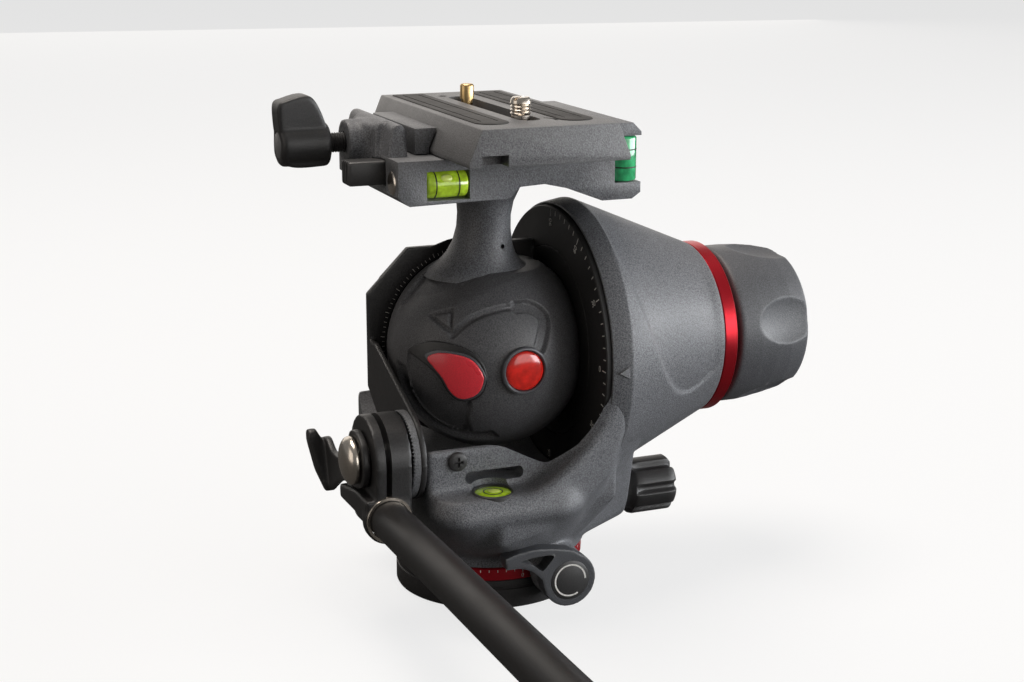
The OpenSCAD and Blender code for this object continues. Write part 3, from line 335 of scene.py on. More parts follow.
@dataclass(frozen=True)
class Finish:
    """Surface finish, as a procedural material on Object coordinates.

    Attributes:
        name: Name of the material.
        colour: Its base colour.
        roughness: Middle roughness.
        metallic: Metallic share.
        grain: Size of the surface's grain, in millimetres.
        bump: Strength of the grain's relief.
        mottle: Share by which the colour varies with the grain.
        fleck: Share of pale flecks in the paint.
        wear: How far edges are rubbed paler.
        coat: Clear coat's weight.
        painted_glow: Painted light: a glow of the part's own colour, given as emission, that stands in for
            light shining through a bright fluid or resin.
        lathe: Axis of turned lines, if it is turned.
    """

    name: str
    colour: Triple
    roughness: float
    metallic: float = 0.0
    grain: float = 0.5
    bump: float = 0.15
    mottle: float = 0.2
    fleck: float = 0.0
    wear: float = 0.0
    coat: float = 0.0
    painted_glow: float = 0.0
    lathe: Axis | None = None

    def material(self) -> bpy.types.Material:
        """Returns the material, which is made on first use."""
        found = bpy.data.materials.get(self.name)
        return found or self._made()

    def _noise(self, tree: bpy.types.NodeTree, size: float, detail: float) -> bpy.types.NodeSocket:
        """Noise of a size in millimetres on Object coordinates."""
        noise = tree.nodes.new("ShaderNodeTexNoise")
        noise.inputs["Scale"].default_value = 1.0 / (size * MM)
        noise.inputs["Detail"].default_value = detail
        coords = tree.nodes.new("ShaderNodeTexCoord")
        tree.links.new(coords.outputs["Object"], noise.inputs["Vector"])
        return noise.outputs["Fac"]

    @staticmethod
    def _spread(tree: bpy.types.NodeTree, source: bpy.types.NodeSocket, low: float, high: float,
                to_low: float, to_high: float) -> bpy.types.NodeSocket:
        """Maps a range of a value to another range."""
        node = tree.nodes.new("ShaderNodeMapRange")
        tree.links.new(source, node.inputs["Value"])
        for name, value in (("From Min", low), ("From Max", high), ("To Min", to_low), ("To Max", to_high)):
            node.inputs[name].default_value = value
        return node.outputs["Result"]

    @staticmethod
    def _blend(tree: bpy.types.NodeTree, share: bpy.types.NodeSocket, first: bpy.types.NodeSocket | Triple,
               second: Triple) -> bpy.types.NodeSocket:
        """Mixes a colour into another one."""
        node = tree.nodes.new("ShaderNodeMix")
        node.data_type = "RGBA"
        tree.links.new(share, node.inputs["Factor"])
        if isinstance(first, tuple):
            node.inputs["A"].default_value = (*first, 1.0)
        else:
            tree.links.new(first, node.inputs["A"])
        node.inputs["B"].default_value = (*second, 1.0)
        return node.outputs["Result"]

    def _relief(self, tree: bpy.types.NodeTree, grain: bpy.types.NodeSocket) -> bpy.types.NodeSocket:
        """Relief of the grain, or of turned lines."""
        bump = tree.nodes.new("ShaderNodeBump")
        bump.inputs["Strength"].default_value = self.bump
        bump.inputs["Distance"].default_value = self.grain * MM / 2
        height = grain
        if self.lathe is not None:
            wave = tree.nodes.new("ShaderNodeTexWave")
            wave.bands_direction = self.lathe.name
            wave.inputs["Scale"].default_value = math.pi / (10.0 * self.grain * MM)
            wave.inputs["Distortion"].default_value = 1.5
            coords = tree.nodes.new("ShaderNodeTexCoord")
            tree.links.new(coords.outputs["Object"], wave.inputs["Vector"])
            height = wave.outputs["Fac"]
        tree.links.new(height, bump.inputs["Height"])
        return bump.outputs["Normal"]

    def _made(self) -> bpy.types.Material:
        """Builds the node tree."""
        material = bpy.data.materials.new(self.name)
        material.use_nodes = True
        tree = material.node_tree
        shader = tree.nodes["Principled BSDF"]
        shader.inputs["Metallic"].default_value = self.metallic
        shader.inputs["Coat Weight"].default_value = self.coat
        shader.inputs["Coat Roughness"].default_value = 0.08
        grain = self._noise(tree, self.grain, 3.0)
        dark = tuple(c * (1.0 - self.mottle) for c in self.colour)
        light = tuple(min(1.0, c * (1.0 + self.mottle)) for c in self.colour)
        colour = self._blend(tree, self._spread(tree, grain, 0.35, 0.65, 0.0, 1.0), dark, light)
        if self.fleck > 0.0:
            fine = self._noise(tree, self.grain * 0.7, 1.0)
            pale = tuple(0.55 * c + 0.2 for c in self.colour)
            colour = self._blend(tree, self._spread(tree, fine, 0.62, 0.72, 0.0, self.fleck), colour, pale)
        if self.wear > 0.0:
            shape = tree.nodes.new("ShaderNodeNewGeometry")
            rubbed = tuple(0.5 * c + 0.16 for c in self.colour)
            share = self._spread(tree, shape.outputs["Pointiness"], 0.52, 0.6, 0.0, self.wear)
            colour = self._blend(tree, share, colour, rubbed)
        tree.links.new(colour, shader.inputs["Base Color"])
        # Painted light: the part glows in its own colour, though it is no lamp.
        if self.painted_glow > 0.0:
            shader.inputs["Emission Color"].default_value = (*self.colour, 1.0)
            shader.inputs["Emission Strength"].default_value = self.painted_glow
        broad = self._noise(tree, 14.0, 2.0)
        rough = self._spread(tree, broad, 0.3, 0.7, self.roughness * 0.88, min(1.0, self.roughness * 1.12))
        tree.links.new(rough, shader.inputs["Roughness"])
        tree.links.new(self._relief(tree, grain), shader.inputs["Normal"])
        return material


CHARCOAL = Finish("speckled_charcoal_paint", (0.118, 0.121, 0.13), 0.46, grain=0.42, bump=0.6, mottle=0.5,
                  fleck=0.6, wear=0.35)
PLATE_PAINT = Finish("speckled_plate_paint", (0.115, 0.115, 0.119), 0.46, grain=0.42, bump=0.5, mottle=0.45,
                     fleck=0.4, wear=0.6)
BALL_PAINT = Finish("fine_ball_paint", (0.088, 0.087, 0.091), 0.46, grain=0.36, bump=0.4, mottle=0.4,
                    fleck=0.3, wear=0.35)
BLACK_CASTING = Finish("satin_black_casting", (0.018, 0.017, 0.017), 0.46, grain=0.5, bump=0.25, mottle=0.3,
                       wear=0.2)
SCALE_BLACK = Finish("matte_scale_black", (0.012, 0.011, 0.011), 0.55, grain=0.4, bump=0.15, mottle=0.3)
KNOB_GREY = Finish("moulded_knob_grey", (0.085, 0.087, 0.094), 0.48, grain=0.35, bump=0.35, mottle=0.35,
                   fleck=0.15, wear=0.8)
BLACK_PLASTIC = Finish("moulded_black_plastic", (0.022, 0.021, 0.021), 0.42, grain=0.3, bump=0.25,
                       mottle=0.25, wear=0.25)
LEVER_GREY = Finish("moulded_lever_grey", (0.06, 0.062, 0.068), 0.44, grain=0.3, bump=0.25, mottle=0.25,
                    wear=0.7)
RED_RING = Finish("red_anodised_ring", (0.46, 0.012, 0.022), 0.3, metallic=0.75, grain=0.09, bump=0.12,
                  mottle=0.12, lathe=Axis.X)
RED_BASE_RING = Finish("red_anodised_base_ring", (0.42, 0.01, 0.02), 0.34, metallic=0.6, grain=0.09,
                       bump=0.12, mottle=0.12, lathe=Axis.Z)
RED_LEVER = Finish("red_lever_moulding", (0.92, 0.05, 0.07), 0.3, grain=0.3, bump=0.06, mottle=0.08,
                   coat=0.25)
# The red badge carries a painted glow: emission that stands in for light shining through its resin.
RED_BADGE = Finish("red_badge_resin", (0.68, 0.02, 0.012), 0.14, grain=2.5, bump=0.02, mottle=0.2, coat=0.8,
                   painted_glow=0.05)
BEZEL_GREY = Finish("badge_bezel_grey", (0.1, 0.1, 0.108), 0.4, metallic=0.3, grain=0.2, bump=0.15,
                    mottle=0.2)
NICKEL = Finish("plated_nickel", (0.62, 0.56, 0.49), 0.24, metallic=1.0, grain=0.6, bump=0.04, mottle=0.08)
TURNED_STEEL = Finish("turned_steel", (0.5, 0.5, 0.5), 0.3, metallic=1.0, grain=0.15, bump=0.12, mottle=0.1,
                      lathe=Axis.X)
BRASS = Finish("turned_brass", (0.62, 0.43, 0.2), 0.28, metallic=1.0, grain=0.12, bump=0.12, mottle=0.1,
               lathe=Axis.Z)
RUBBER = Finish("moulded_rubber", (0.03, 0.028, 0.027), 0.68, grain=0.35, bump=0.35, mottle=0.3)
BAR_BLACK = Finish("black_anodised_bar", (0.016, 0.015, 0.015), 0.42, metallic=0.1, grain=0.25, bump=0.06,
                   mottle=0.15, fleck=0.1)
# The level fluids and the bubble carry a painted glow: emission that stands in for light shining through
# them.
FLUID = Finish("level_fluid", (0.42, 0.62, 0.03), 0.1, grain=3.0, bump=0.02, mottle=0.35, coat=1.0, painted_glow=0.12)
DARK_FLUID = Finish("level_fluid_deep", (0.04, 0.42, 0.16), 0.12, grain=3.0, bump=0.02, mottle=0.35,
                    coat=1.0, painted_glow=0.08)
BUBBLE = Finish("level_bubble", (0.68, 0.82, 0.16), 0.08, grain=3.0, bump=0.01, mottle=0.15, coat=1.0,
                painted_glow=0.1)
PRINT_WHITE = Finish("printed_white", (0.72, 0.7, 0.66), 0.55, grain=0.2, bump=0.1, mottle=0.2)
PRINT_BLACK = Finish("printed_black", (0.01, 0.012, 0.008), 0.4, grain=0.2, bump=0.05, mottle=0.2)
ACETAL = Finish("white_acetal", (0.68, 0.66, 0.6), 0.45, grain=0.5, bump=0.1, mottle=0.08)
LINING = Finish("friction_lining", (0.3, 0.22, 0.14), 0.8, grain=0.4, bump=0.5, mottle=0.5)
CAP_DISC = Finish("grey_cap_disc", (0.16, 0.16, 0.165), 0.45, grain=0.3, bump=0.2, mottle=0.2)


def placed(name: str, bm: BMesh, body: str, finish: Finish, replaces: Sequence[str] = (),
           sharp: float = 38.0) -> bpy.types.Object:
    """Makes a shape a finished piece that rides on a body.

    Args:
        name: Name of the piece.
        bm: Its shape, in millimetres.
        body: Body that carries it.
        finish: Its finish.
        replaces: Nodes that it stands for.
        sharp: Angle in degrees past which an edge stays sharp.

    Returns:
        The piece.
    """
    bmesh.ops.scale(bm, vec=(MM, MM, MM), verts=bm.verts[:])
    limit = math.radians(sharp)
    for face in bm.faces:
        face.smooth = True
    for edge in bm.edges:
        edge.smooth = len(edge.link_faces) == 2 and edge.calc_face_angle() < limit
    mesh = bpy.data.meshes.new(name)
    bm.to_mesh(mesh)
    bm.free()
    mesh.materials.append(finish.material())
    obj = bpy.data.objects.new(name, mesh)
    bpy.context.scene.collection.objects.link(obj)
    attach(obj, body)
    if replaces:
        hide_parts(*replaces)
    LOG.info("%s rides on %s with %d faces", name, body, len(mesh.polygons))
    return obj


def painted(finish: Finish, *nodes: str) -> None:
    """Gives CAD nodes that keep their own shape a finish."""
    for node in nodes:
        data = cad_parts[node].data
        data.materials.clear()
        data.materials.append(finish.material())
        LOG.info("%s keeps its shape, in %s", node, finish.name)


@dataclass
class Studio:
    """Camera, soft light and pale floor.

    Attributes:
        eye: Camera's place, in millimetres.
        azimuth: Its turn about Z, in degrees.
        down: How far it looks down, in degrees.
        roll: Its roll, in degrees.
        lens: Focal length on a sensor 36 mm wide.
        paper: Brightness of the floor and the background.
        ambient: Strength of the world as light.
        gloss: Strength of the world as it shows in metal and gloss.
        bounce: Colour of the floor for the light that it throws back.
    """

    eye: Triple = (-189.843, -489.876, 217.735)
    azimuth: float = -22.068
    down: float = 14.711
    roll: float = 0.116
    lens: float = 59.537
    paper: float = 0.81
    ambient: float = 0.05
    gloss: float = 0.22
    bounce: float = 0.05

    def build(self) -> None:
        """Sets up the camera, the lamps, the world and the floor."""
        bpy.context.scene.view_settings.view_transform = "Standard"
        self.camera()
        self.lamp("window", (1450.0, -680.0, 200.0), (1900.0, 900.0), 44.0, (0.95, 0.975, 1.0))
        self.lamp("overhead", (-150.0, 250.0, 1450.0), (850.0, 850.0), 18.0, (1.0, 0.93, 0.86))
        self.lamp("back_wall", (300.0, 2200.0, 700.0), (2400.0, 1600.0), 12.0, (1.0, 0.94, 0.87))
        self.lamp("front_fill", (450.0, -1500.0, 360.0), (1000.0, 1000.0), 6.0, (1.0, 0.97, 0.94))
        self.lamp("left_fill", (-1300.0, -100.0, 380.0), (900.0, 900.0), 2.5, (1.0, 0.92, 0.84))
        self.world()
        self.floor()

    def camera(self) -> None:
        """Places the camera at the photograph's viewing angle."""
        data = bpy.data.cameras.new("camera")
        data.sensor_width = 36.0
        data.lens = self.lens
        data.clip_start, data.clip_end = 0.02, 60.0
        camera = bpy.data.objects.new("camera", data)
        turn = (Matrix.Rotation(math.radians(self.azimuth), 4, "Z")
                @ Matrix.Rotation(math.radians(90.0 - self.down), 4, "X")
                @ Matrix.Rotation(math.radians(self.roll), 4, "Z"))
        camera.matrix_world = Matrix.Translation(Vector(self.eye) * MM) @ turn
        bpy.context.scene.collection.objects.link(camera)
        bpy.context.scene.camera = camera

    def lamp(self, name: str, place: Triple, size: Pair, power: float, colour: Triple) -> None:
        """Adds a soft box that faces the head.

        Args:
            name: Name of the lamp.
            place: Its place, in millimetres.
            size: Its width and height, in millimetres.
            power: Its power in watts.
            colour: Its colour.
        """
        data = bpy.data.lights.new(name, "AREA")
        data.shape = "RECTANGLE"
        data.size, data.size_y = size[0] * MM, size[1] * MM
        data.energy = power
        data.color = colour
        lamp = bpy.data.objects.new(name, data)
        lamp.visible_camera = False
        aim = Vector((0.0, 0.0, 90.0)) - Vector(place)
        turn = aim.to_track_quat("-Z", "Y").to_matrix().to_4x4()
        lamp.matrix_world = Matrix.Translation(Vector(place) * MM) @ turn
        bpy.context.scene.collection.objects.link(lamp)

    @staticmethod
    def seen(tree: bpy.types.NodeTree) -> bpy.types.NodeSocket:
        """Value of 1 on rays that show the background, straight or through glass."""
        path = tree.nodes.new("ShaderNodeLightPath")
        add = tree.nodes.new("ShaderNodeMath")
        add.operation = "MAXIMUM"
        tree.links.new(path.outputs["Is Camera Ray"], add.inputs[0])
        tree.links.new(path.outputs["Is Transmission Ray"], add.inputs[1])
        return add.outputs[0]

    def world(self) -> None:
        """Pale surroundings, a little dimmer as light than as background."""
        world = bpy.data.worlds.new("studio")
        world.use_nodes = True
        bpy.context.scene.world = world
        tree = world.node_tree
        background = tree.nodes["Background"]
        background.inputs["Color"].default_value = (1.0, 1.0, 1.0, 1.0)
        strength = tree.nodes.new("ShaderNodeMapRange")
        tree.links.new(self.seen(tree), strength.inputs["Value"])
        strength.inputs["To Min"].default_value = self.ambient
        strength.inputs["To Max"].default_value = self.paper
        shine = tree.nodes.new("ShaderNodeMath")
        shine.operation = "MULTIPLY_ADD"
        shine.inputs[1].default_value = self.gloss - self.ambient
        tree.links.new(tree.nodes["Light Path"].outputs["Is Glossy Ray"], shine.inputs[0])
        tree.links.new(strength.outputs["Result"], shine.inputs[2])
        tree.links.new(shine.outputs[0], background.inputs["Strength"])

    def floor(self) -> None:
        """Pale paper under the head, which takes its shadow."""
        bm = bmesh.new()
        bmesh.ops.create_grid(bm, x_segments=1, y_segments=1, size=20.0)
        mesh = bpy.data.meshes.new("floor")
        bm.to_mesh(mesh)
        bm.free()
        floor = bpy.data.objects.new("floor", mesh)
        bpy.context.scene.collection.objects.link(floor)
        material = bpy.data.materials.new("paper")
        material.use_nodes = True
        tree = material.node_tree
        shader = tree.nodes["Principled BSDF"]
        tone = tree.nodes.new("ShaderNodeMapRange")
        tree.links.new(self.seen(tree), tone.inputs["Value"])
        tone.inputs["To Min"].default_value = self.bounce
        tone.inputs["To Max"].default_value = 0.8
        tree.links.new(tone.outputs["Result"], shader.inputs["Base Color"])
        shader.inputs["Roughness"].default_value = 0.9
        light = tree.nodes.new("ShaderNodeEmission")
        light.inputs["Color"].default_value = (1.0, 1.0, 1.0, 1.0)
        mix = tree.nodes.new("ShaderNodeMixShader")
        share = tree.nodes.new("ShaderNodeMapRange")
        tree.links.new(self.seen(tree), share.inputs["Value"])
        share.inputs["To Max"].default_value = 0.75
        tree.links.new(share.outputs["Result"], mix.inputs["Fac"])
        tree.links.new(shader.outputs["BSDF"], mix.inputs[1])
        tree.links.new(light.outputs["Emission"], mix.inputs[2])
        tree.links.new(mix.outputs["Shader"], tree.nodes["Material Output"].inputs["Surface"])
        mesh.materials.append(material)


@dataclass
class Base:
    """Base disc and red pan scale ring.

    Attributes:
        disc_r: Radius of the disc.
        disc_h: Its height.
        seat_r: Radius of the hole for the axle.
        ring_r: Radius of the red ring.
        ring_top: Its top.
        ring_bore: Radius of its hole.
        mark_step: Degrees between two marks.
    """

    disc_r: float = 30.0
    disc_h: float = 10.0
    seat_r: float = 12.05
    ring_r: float = 31.0
    ring_top: float = 14.2
    ring_bore: float = 16.05
    mark_step: int = 5

    def build(self) -> None:
        """Builds and dresses the base."""
        r, h = self.disc_r, self.disc_h
        disc = turned([(0.0, self.seat_r), (0.0, r - 0.8), (0.25, r - 0.3), (0.8, r), (6.4, r),
                       (6.7, r - 0.35), (7.3, r - 0.35), (7.6, r), (h - 0.5, r), (h - 0.1, r - 0.35),
                       (h, r - 0.6), (h, self.seat_r)], Axis.Z, steps=160)
        placed("base_disc_turned", disc, "base", BLACK_CASTING, ["base_disc"])
        ring = turned([(h, self.ring_bore), (h, self.ring_r - 0.35), (h + 0.35, self.ring_r),
                       (self.ring_top - 0.35, self.ring_r), (self.ring_top, self.ring_r - 0.35),
                       (self.ring_top, self.ring_bore)], Axis.Z, steps=160)
        placed("pan_ring_turned", ring, "base", RED_BASE_RING, ["pan_scale_ring"])
        placed("pan_ring_marks", fused(*self.marks()), "base", PRINT_WHITE)
        painted(TURNED_STEEL, "pan_axle", "pan_nut")
        painted(ACETAL, "pan_washer")

    def marks(self) -> list[BMesh]:
        """Returns the degree marks and numbers round the ring."""
        found = []
        for angle in range(0, 360, self.mark_step):
            turn = Matrix.Rotation(math.radians(angle), 4, "Z")
            long = angle % 30 == 0
            top = self.ring_top - 0.5
            mark = block((-0.12, -self.ring_r - 0.02, top - (1.3 if long else 0.8)),
                         (0.12, -self.ring_r + 0.3, top))
            found.append(moved(mark, turn))
            if long:
                stand = (Matrix.Translation((0.0, -self.ring_r, top - 2.4))
                         @ Matrix.Rotation(math.pi / 2, 4, "X"))
                found.append(moved(numeral(str(angle), 1.3, 0.06), turn @ stand))
        return found


@dataclass
class Housing:
    """Housing casting with its cone, ring, cradle, shelf and foot.

    Attributes:
        face_x: Face of the ring's lip.
        lip_r: Radius of the lip.
        crest_x: Crest of the ring.
        crest_r: Radius of the crest.
        end_x: End of the cone.
        end_r: Radius of the cone's end.
        pocket_r: Radius of the pocket for the tilt scale.
        floor_x: Floor of that pocket.
        hub_room: Radius of the room for the carrier's hub.
        hub_floor: Floor of that room.
        drum_r: Radius of the room for the brake.
        cap_r: Radius of the cap's seat in the cone's end.
        cap_x: Floor of that seat.
        cradle_r: Radius of the cradle.
        left: Left end of the casting.
        foot_r: Radius of the foot.
        foot_z: Underside of the foot.
        shelf_z: Top of the front shelf.
        shelf_y: Front edge of the shelf.
        lip_z: Top of the cradle's lip.
        lip_y: Half depth of the cradle.
        sweep: Middle of the rounded edge that runs from the ring down to the shelf.
        edge_r: Radius of that edge.
        band: Width of the upright band below it.
        level_spot: Middle of the round level in X and Y.
        screw_spot: Middle of the front screw in X and Z.
        voxel: Grid that the lower casting is cast on.
    """

    face_x: float = 23.7
    lip_r: float = 44.9
    crest_x: float = 30.0
    crest_r: float = 45.9
    end_x: float = 71.3
    end_r: float = 28.4
    pocket_r: float = 44.2
    floor_x: float = 26.0
    hub_room: float = 31.6
    hub_floor: float = 37.9
    drum_r: float = 23.0
    cap_r: float = 25.95
    cap_x: float = 63.5
    cradle_r: float = 40.4
    left: float = -33.0
    foot_r: float = 31.5
    foot_z: float = 14.8
    shelf_z: float = 43.5
    shelf_y: float = -48.0
    lip_z: float = 57.0
    lip_y: float = 36.0
    sweep: tuple[Triple, ...] = ((26.3, -42.2, 78.2), (26.2, -41.6, 71.0), (24.6, -41.4, 65.0),
                                 (21.6, -41.4, 59.4), (16.6, -41.9, 53.2), (10.6, -42.6, 48.0),
                                 (4.2, -43.3, 43.8), (-3.6, -44.2, 40.6), (-14.0, -45.0, 38.6))
    edge_r: float = 2.6
    band: float = 9.0
    level_spot: Pair = (-13.3, -39.4)
    screw_spot: Pair = (-23.5, 53.4)
    voxel: float = 0.85

    def build(self) -> None:
        """Builds and dresses the housing and what is fixed to it."""
        placed("housing_cone", self.cone(), "housing", CHARCOAL, ["housing"])
        placed("housing_casting", self.casting(), "housing", CHARCOAL, ["housing"])
        placed("tilt_index", self.index(), "housing", CHARCOAL)
        near, far, bore, edge = self.end_x, 75.9, 7.0, 0.3
        ring = turned([(near, bore), (near, self.end_r - edge), (near + edge, self.end_r),
                       (far - edge, self.end_r), (far, self.end_r - edge), (far, bore)], Axis.X, TILT,
                      steps=192)
        placed("cone_ring_turned", ring, "housing", RED_RING, ["cone_ring"])
        painted(BLACK_PLASTIC, "knob_collar")
        painted(CAP_DISC, "cone_cap")
        painted(BRASS, "inner_bush", "outer_bush")
        self.level()
        self.screw()

    def cone_radius(self, x: float) -> float:
        """Radius of the cone at a place along its axis."""
        return self.crest_r + (self.end_r - self.crest_r) * (x - self.crest_x) / (self.end_x - self.crest_x)

    def cone(self) -> BMesh:
        """Returns the ring and cone, with the shallow flat on its near side."""
        rows = 48
        flank = [(self.crest_x + 0.5 + (self.end_x - self.crest_x - 1.0) * i / rows) for i in range(rows + 1)]
        profile = [(self.face_x, self.pocket_r), (self.face_x, self.lip_r - 0.4),
                   (self.face_x + 0.12, self.lip_r - 0.12), (self.face_x + 0.4, self.lip_r),
                   (self.crest_x - 0.6, self.crest_r - 0.06), (self.crest_x, self.crest_r)]
        profile += [(x, self.cone_radius(x)) for x in flank]
        bush_x, bush_r = 50.7, 14.0
        profile += [(self.end_x, self.end_r - 0.3), (self.end_x, self.cap_r), (self.cap_x, self.cap_r),
                    (self.cap_x, self.drum_r), (bush_x, self.drum_r), (bush_x, bush_r),
                    (self.hub_floor, bush_r), (self.hub_floor, self.hub_room), (self.floor_x, self.hub_room),
                    (self.floor_x, self.pocket_r)]
        return reshaped(turned(profile, Axis.X, TILT, steps=320), self.flattened)

    def flattened(self, spots: np.ndarray) -> np.ndarray:
        """Presses the leaf-shaped flat into the cone's near side."""
        depth, tip_x, tip_angle = 0.9, 57.5, -23.5
        x, y, z = spots[:, 0], spots[:, 1], spots[:, 2] - TILT_Z
        radius = np.hypot(y, z)
        angle = np.degrees(np.arctan2(z, -y))
        spread = np.where(x < tip_x, 0.1, 0.08) * (x - tip_x) ** 2
        inside = smooth_step(angle - tip_angle - spread, 0.0, 3.0) * (1.0 - smooth_step(angle, 35.0, 80.0))
        outer = (radius > self.cone_radius(x) - 0.5) & (x > self.crest_x)
        share = 1.0 - depth * inside * outer * (1.0 - smooth_step(x, 66.0, 71.0)) / radius
        spots[:, 1] = y * share
        spots[:, 2] = z * share + TILT_Z
        return spots

    def foot_slice(self) -> BMesh:
        """Slice of the foot that the blended forms start from."""
        return rod(Axis.Z, self.foot_r, self.foot_z + 3.0, self.foot_z + 9.0)

    def casting(self) -> BMesh:
        """Returns the lower casting: foot, cradle, shelf and the saddle under the cone."""
        near = (self.left, -self.lip_y, self.shelf_z - 8.0)
        cradle = hull_of(self.foot_slice(), block(near, (self.crest_x, self.lip_y, self.lip_z)))
        upper = drawn(self.shelf_plan(2.0), Axis.Z, self.shelf_z - 1.0, self.shelf_z)
        lower = drawn(self.shelf_plan(0.0), Axis.Z, self.shelf_z - 7.0, self.shelf_z - 4.5)
        shelf = hull_of(self.foot_slice(), upper, lower)
        skirt = turned([(self.face_x + 1.5, 0.0), (self.face_x + 1.5, self.lip_r - 0.6),
                        (self.crest_x, self.crest_r - 0.6), (42.0, self.cone_radius(42.0) - 0.6),
                        (42.0, 0.0)], Axis.X, TILT, 128)
        under = combined(skirt, block((0.0, -60.0, 0.0), (80.0, 60.0, 62.0)), Cut.SHARE)
        saddle = hull_of(self.foot_slice(), under)
        flank = combined(rod(Axis.X, 38.9, 42.0, 44.0, TILT, 96),
                         block((0.0, -20.0, 0.0), (80.0, 20.0, 60.0)), Cut.SHARE)
        boss = hull_of(self.foot_slice(), rod(Axis.X, 9.2, 34.0, 47.0, DRAG_AXIS), flank)
        foot = rod(Axis.Z, self.foot_r, self.foot_z - 2.0, 30.0, steps=128)
        lock_boss = rod(Axis.Y, 8.7, -36.4, -20.0, LOCK_AXIS)
        cone = turned([(self.face_x + 0.8, 0.0), (self.face_x + 0.8, self.lip_r - 1.3),
                       (self.crest_x, self.crest_r - 1.4), (self.end_x - 4.0, self.end_r - 1.0),
                       (self.end_x - 4.0, 0.0)], Axis.X, TILT, 160)
        cast = melted(fused(cradle, shelf, saddle, boss, foot, lock_boss, cone, *self.apron()), self.voxel, 7)
        return carved(cast, *self.bores())

    def shelf_plan(self, inside: float) -> list[Pair]:
        """Outline of the shelf, a distance inside its edge."""
        front = self.shelf_y + inside
        return arc((self.left + 9.0, front + 9.0), 9.0 - inside / 2, 180.0, 270.0) + arc(
            (6.0, front + 12.0), 12.0, 270.0, 340.0) + [(20.0, -28.0), (20.0, -20.0), (self.left, -20.0)]

    def apron(self) -> list[BMesh]:
        """Returns the stretches of the wall that sweeps from the ring's near side down to the shelf."""
        edge = [Vector(spot) for spot in self.sweep]
        low = []
        for i, spot in enumerate(edge):
            run = edge[min(i + 1, len(edge) - 1)] - edge[max(i - 1, 0)]
            side = Vector((-run.z, 0.0, run.x)).normalized()
            width = self.band * min(1.0, max(0.0, (i - 1) / 3))
            low.append(spot + side * width + Vector((0.0, 0.12 * width, 0.0)))
        found = []
        for i in range(len(edge) - 1):
            balls = [globe(self.edge_r, tuple(spot), 16) for spot in (*edge[i:i + 2], *low[i:i + 2])]
            found.append(hull_of(*balls, self.foot_slice()))
        return found

    def scoop(self) -> BMesh:
        """Returns the hollow that runs from the ring's pocket down to the shelf."""
        hollow = turned([(-14.0, 0.0), (-14.0, self.cradle_r), (6.0, 46.5), (14.0, 46.5),
                         (21.5, self.pocket_r), (21.5, 0.0)], Axis.X, TILT, 160)
        return combined(hollow, block((-20.0, -60.0, 0.0), (30.0, -22.0, TILT_Z)), Cut.SHARE)

    def bores(self) -> list[BMesh]:
        """Returns the rooms that are cut out of the casting for the other bodies."""
        return [
            rod(Axis.Z, 31.8, -5.0, self.foot_z, steps=128),
            rod(Axis.X, self.cradle_r, -60.0, self.floor_x, TILT, 160),
            rod(Axis.X, self.pocket_r, 21.2, self.floor_x, TILT, 160),
            rod(Axis.X, self.hub_room, 20.0, self.hub_floor, TILT, 96),
            rod(Axis.X, self.drum_r, self.hub_floor - 0.4, self.cap_x + 0.5, TILT, 96),
            rod(Axis.X, self.cap_r, self.cap_x, 90.0, TILT, 96),
            rod(Axis.Z, 13.6, 29.4, 60.0),
            rod(Axis.Z, 8.2, 0.0, 40.0),
            rod(Axis.Y, 4.15, -60.0, -18.0, LOCK_AXIS),
            rod(Axis.X, 4.15, 5.0, 60.0, DRAG_AXIS),
            rod(Axis.Z, 6.55, self.shelf_z - 3.4, self.shelf_z + 4.0, (*self.level_spot, 0.0)),
            self.scoop(),
            rounded(block((-21.0, -50.0, 45.8), (-2.0, -26.0, 49.6)), 1.6, 3),
        ]

    def index(self) -> BMesh:
        """Returns the small pointer on the ring's band, across from the scale's zero."""
        outline = [(self.face_x + 1.6, 0.0), (self.face_x + 5.0, 1.9), (self.face_x + 5.0, -1.9)]
        return rounded(drawn([(x, z + TILT_Z) for x, z in outline], Axis.Y, -46.1, -44.0), 0.12, 1)

    def level(self) -> None:
        """Round level on the shelf: cup, fluid, bubble and target ring."""
        spot = (*self.level_spot, self.shelf_z)
        cup = turned([(-3.4, 0.0), (-3.4, 6.5), (0.2, 6.5), (0.45, 6.2), (0.45, 5.8), (0.2, 5.6), (-2.6, 5.6),
                      (-2.6, 0.0)], Axis.Z, spot, 64)
        placed("bullseye_cup_turned", cup, "housing", BLACK_PLASTIC, ["bullseye_cup"])
        lens = turned([(-2.6, 0.0), (-2.6, 5.55), (-0.2, 5.55), (0.05, 4.6), (0.2, 2.6), (0.25, 0.0)],
                      Axis.Z, spot, 64)
        placed("bullseye_fluid", lens, "housing", FLUID, ["bullseye_lens"])
        target = turned([(0.16, 2.7), (0.26, 2.7), (0.22, 3.05), (0.12, 3.05)], Axis.Z, spot, 64)
        placed("bullseye_target", target, "housing", PRINT_BLACK)
        bubble = turned([(0.1, 0.0), (0.2, 1.9), (0.3, 1.7), (0.38, 0.9), (0.4, 0.0)], Axis.Z,
                        (spot[0] + 0.5, spot[1] + 0.3, spot[2]), 48)
        placed("bullseye_bubble", bubble, "housing", BUBBLE)

    def screw(self) -> None:
        """Cross-head screw in the cradle's front wall."""
        x, z = self.screw_spot
        head = turned([(-37.4, 0.0), (-37.4, 2.2), (-37.0, 2.85), (-36.2, 3.0), (-36.0, 3.0), (-36.0, 1.5),
                       (-33.0, 1.5), (-33.0, 0.0)], Axis.Y, (x, 0.0, z), 48)
        for wide, tall in ((1.5, 0.32), (0.32, 1.5)):
            head = carved(head, block((x - wide, -38.0, z - tall), (x + wide, -36.6, z + tall)))
        placed("shelf_screw_head", head, "housing", BLACK_CASTING, ["shelf_screw"])


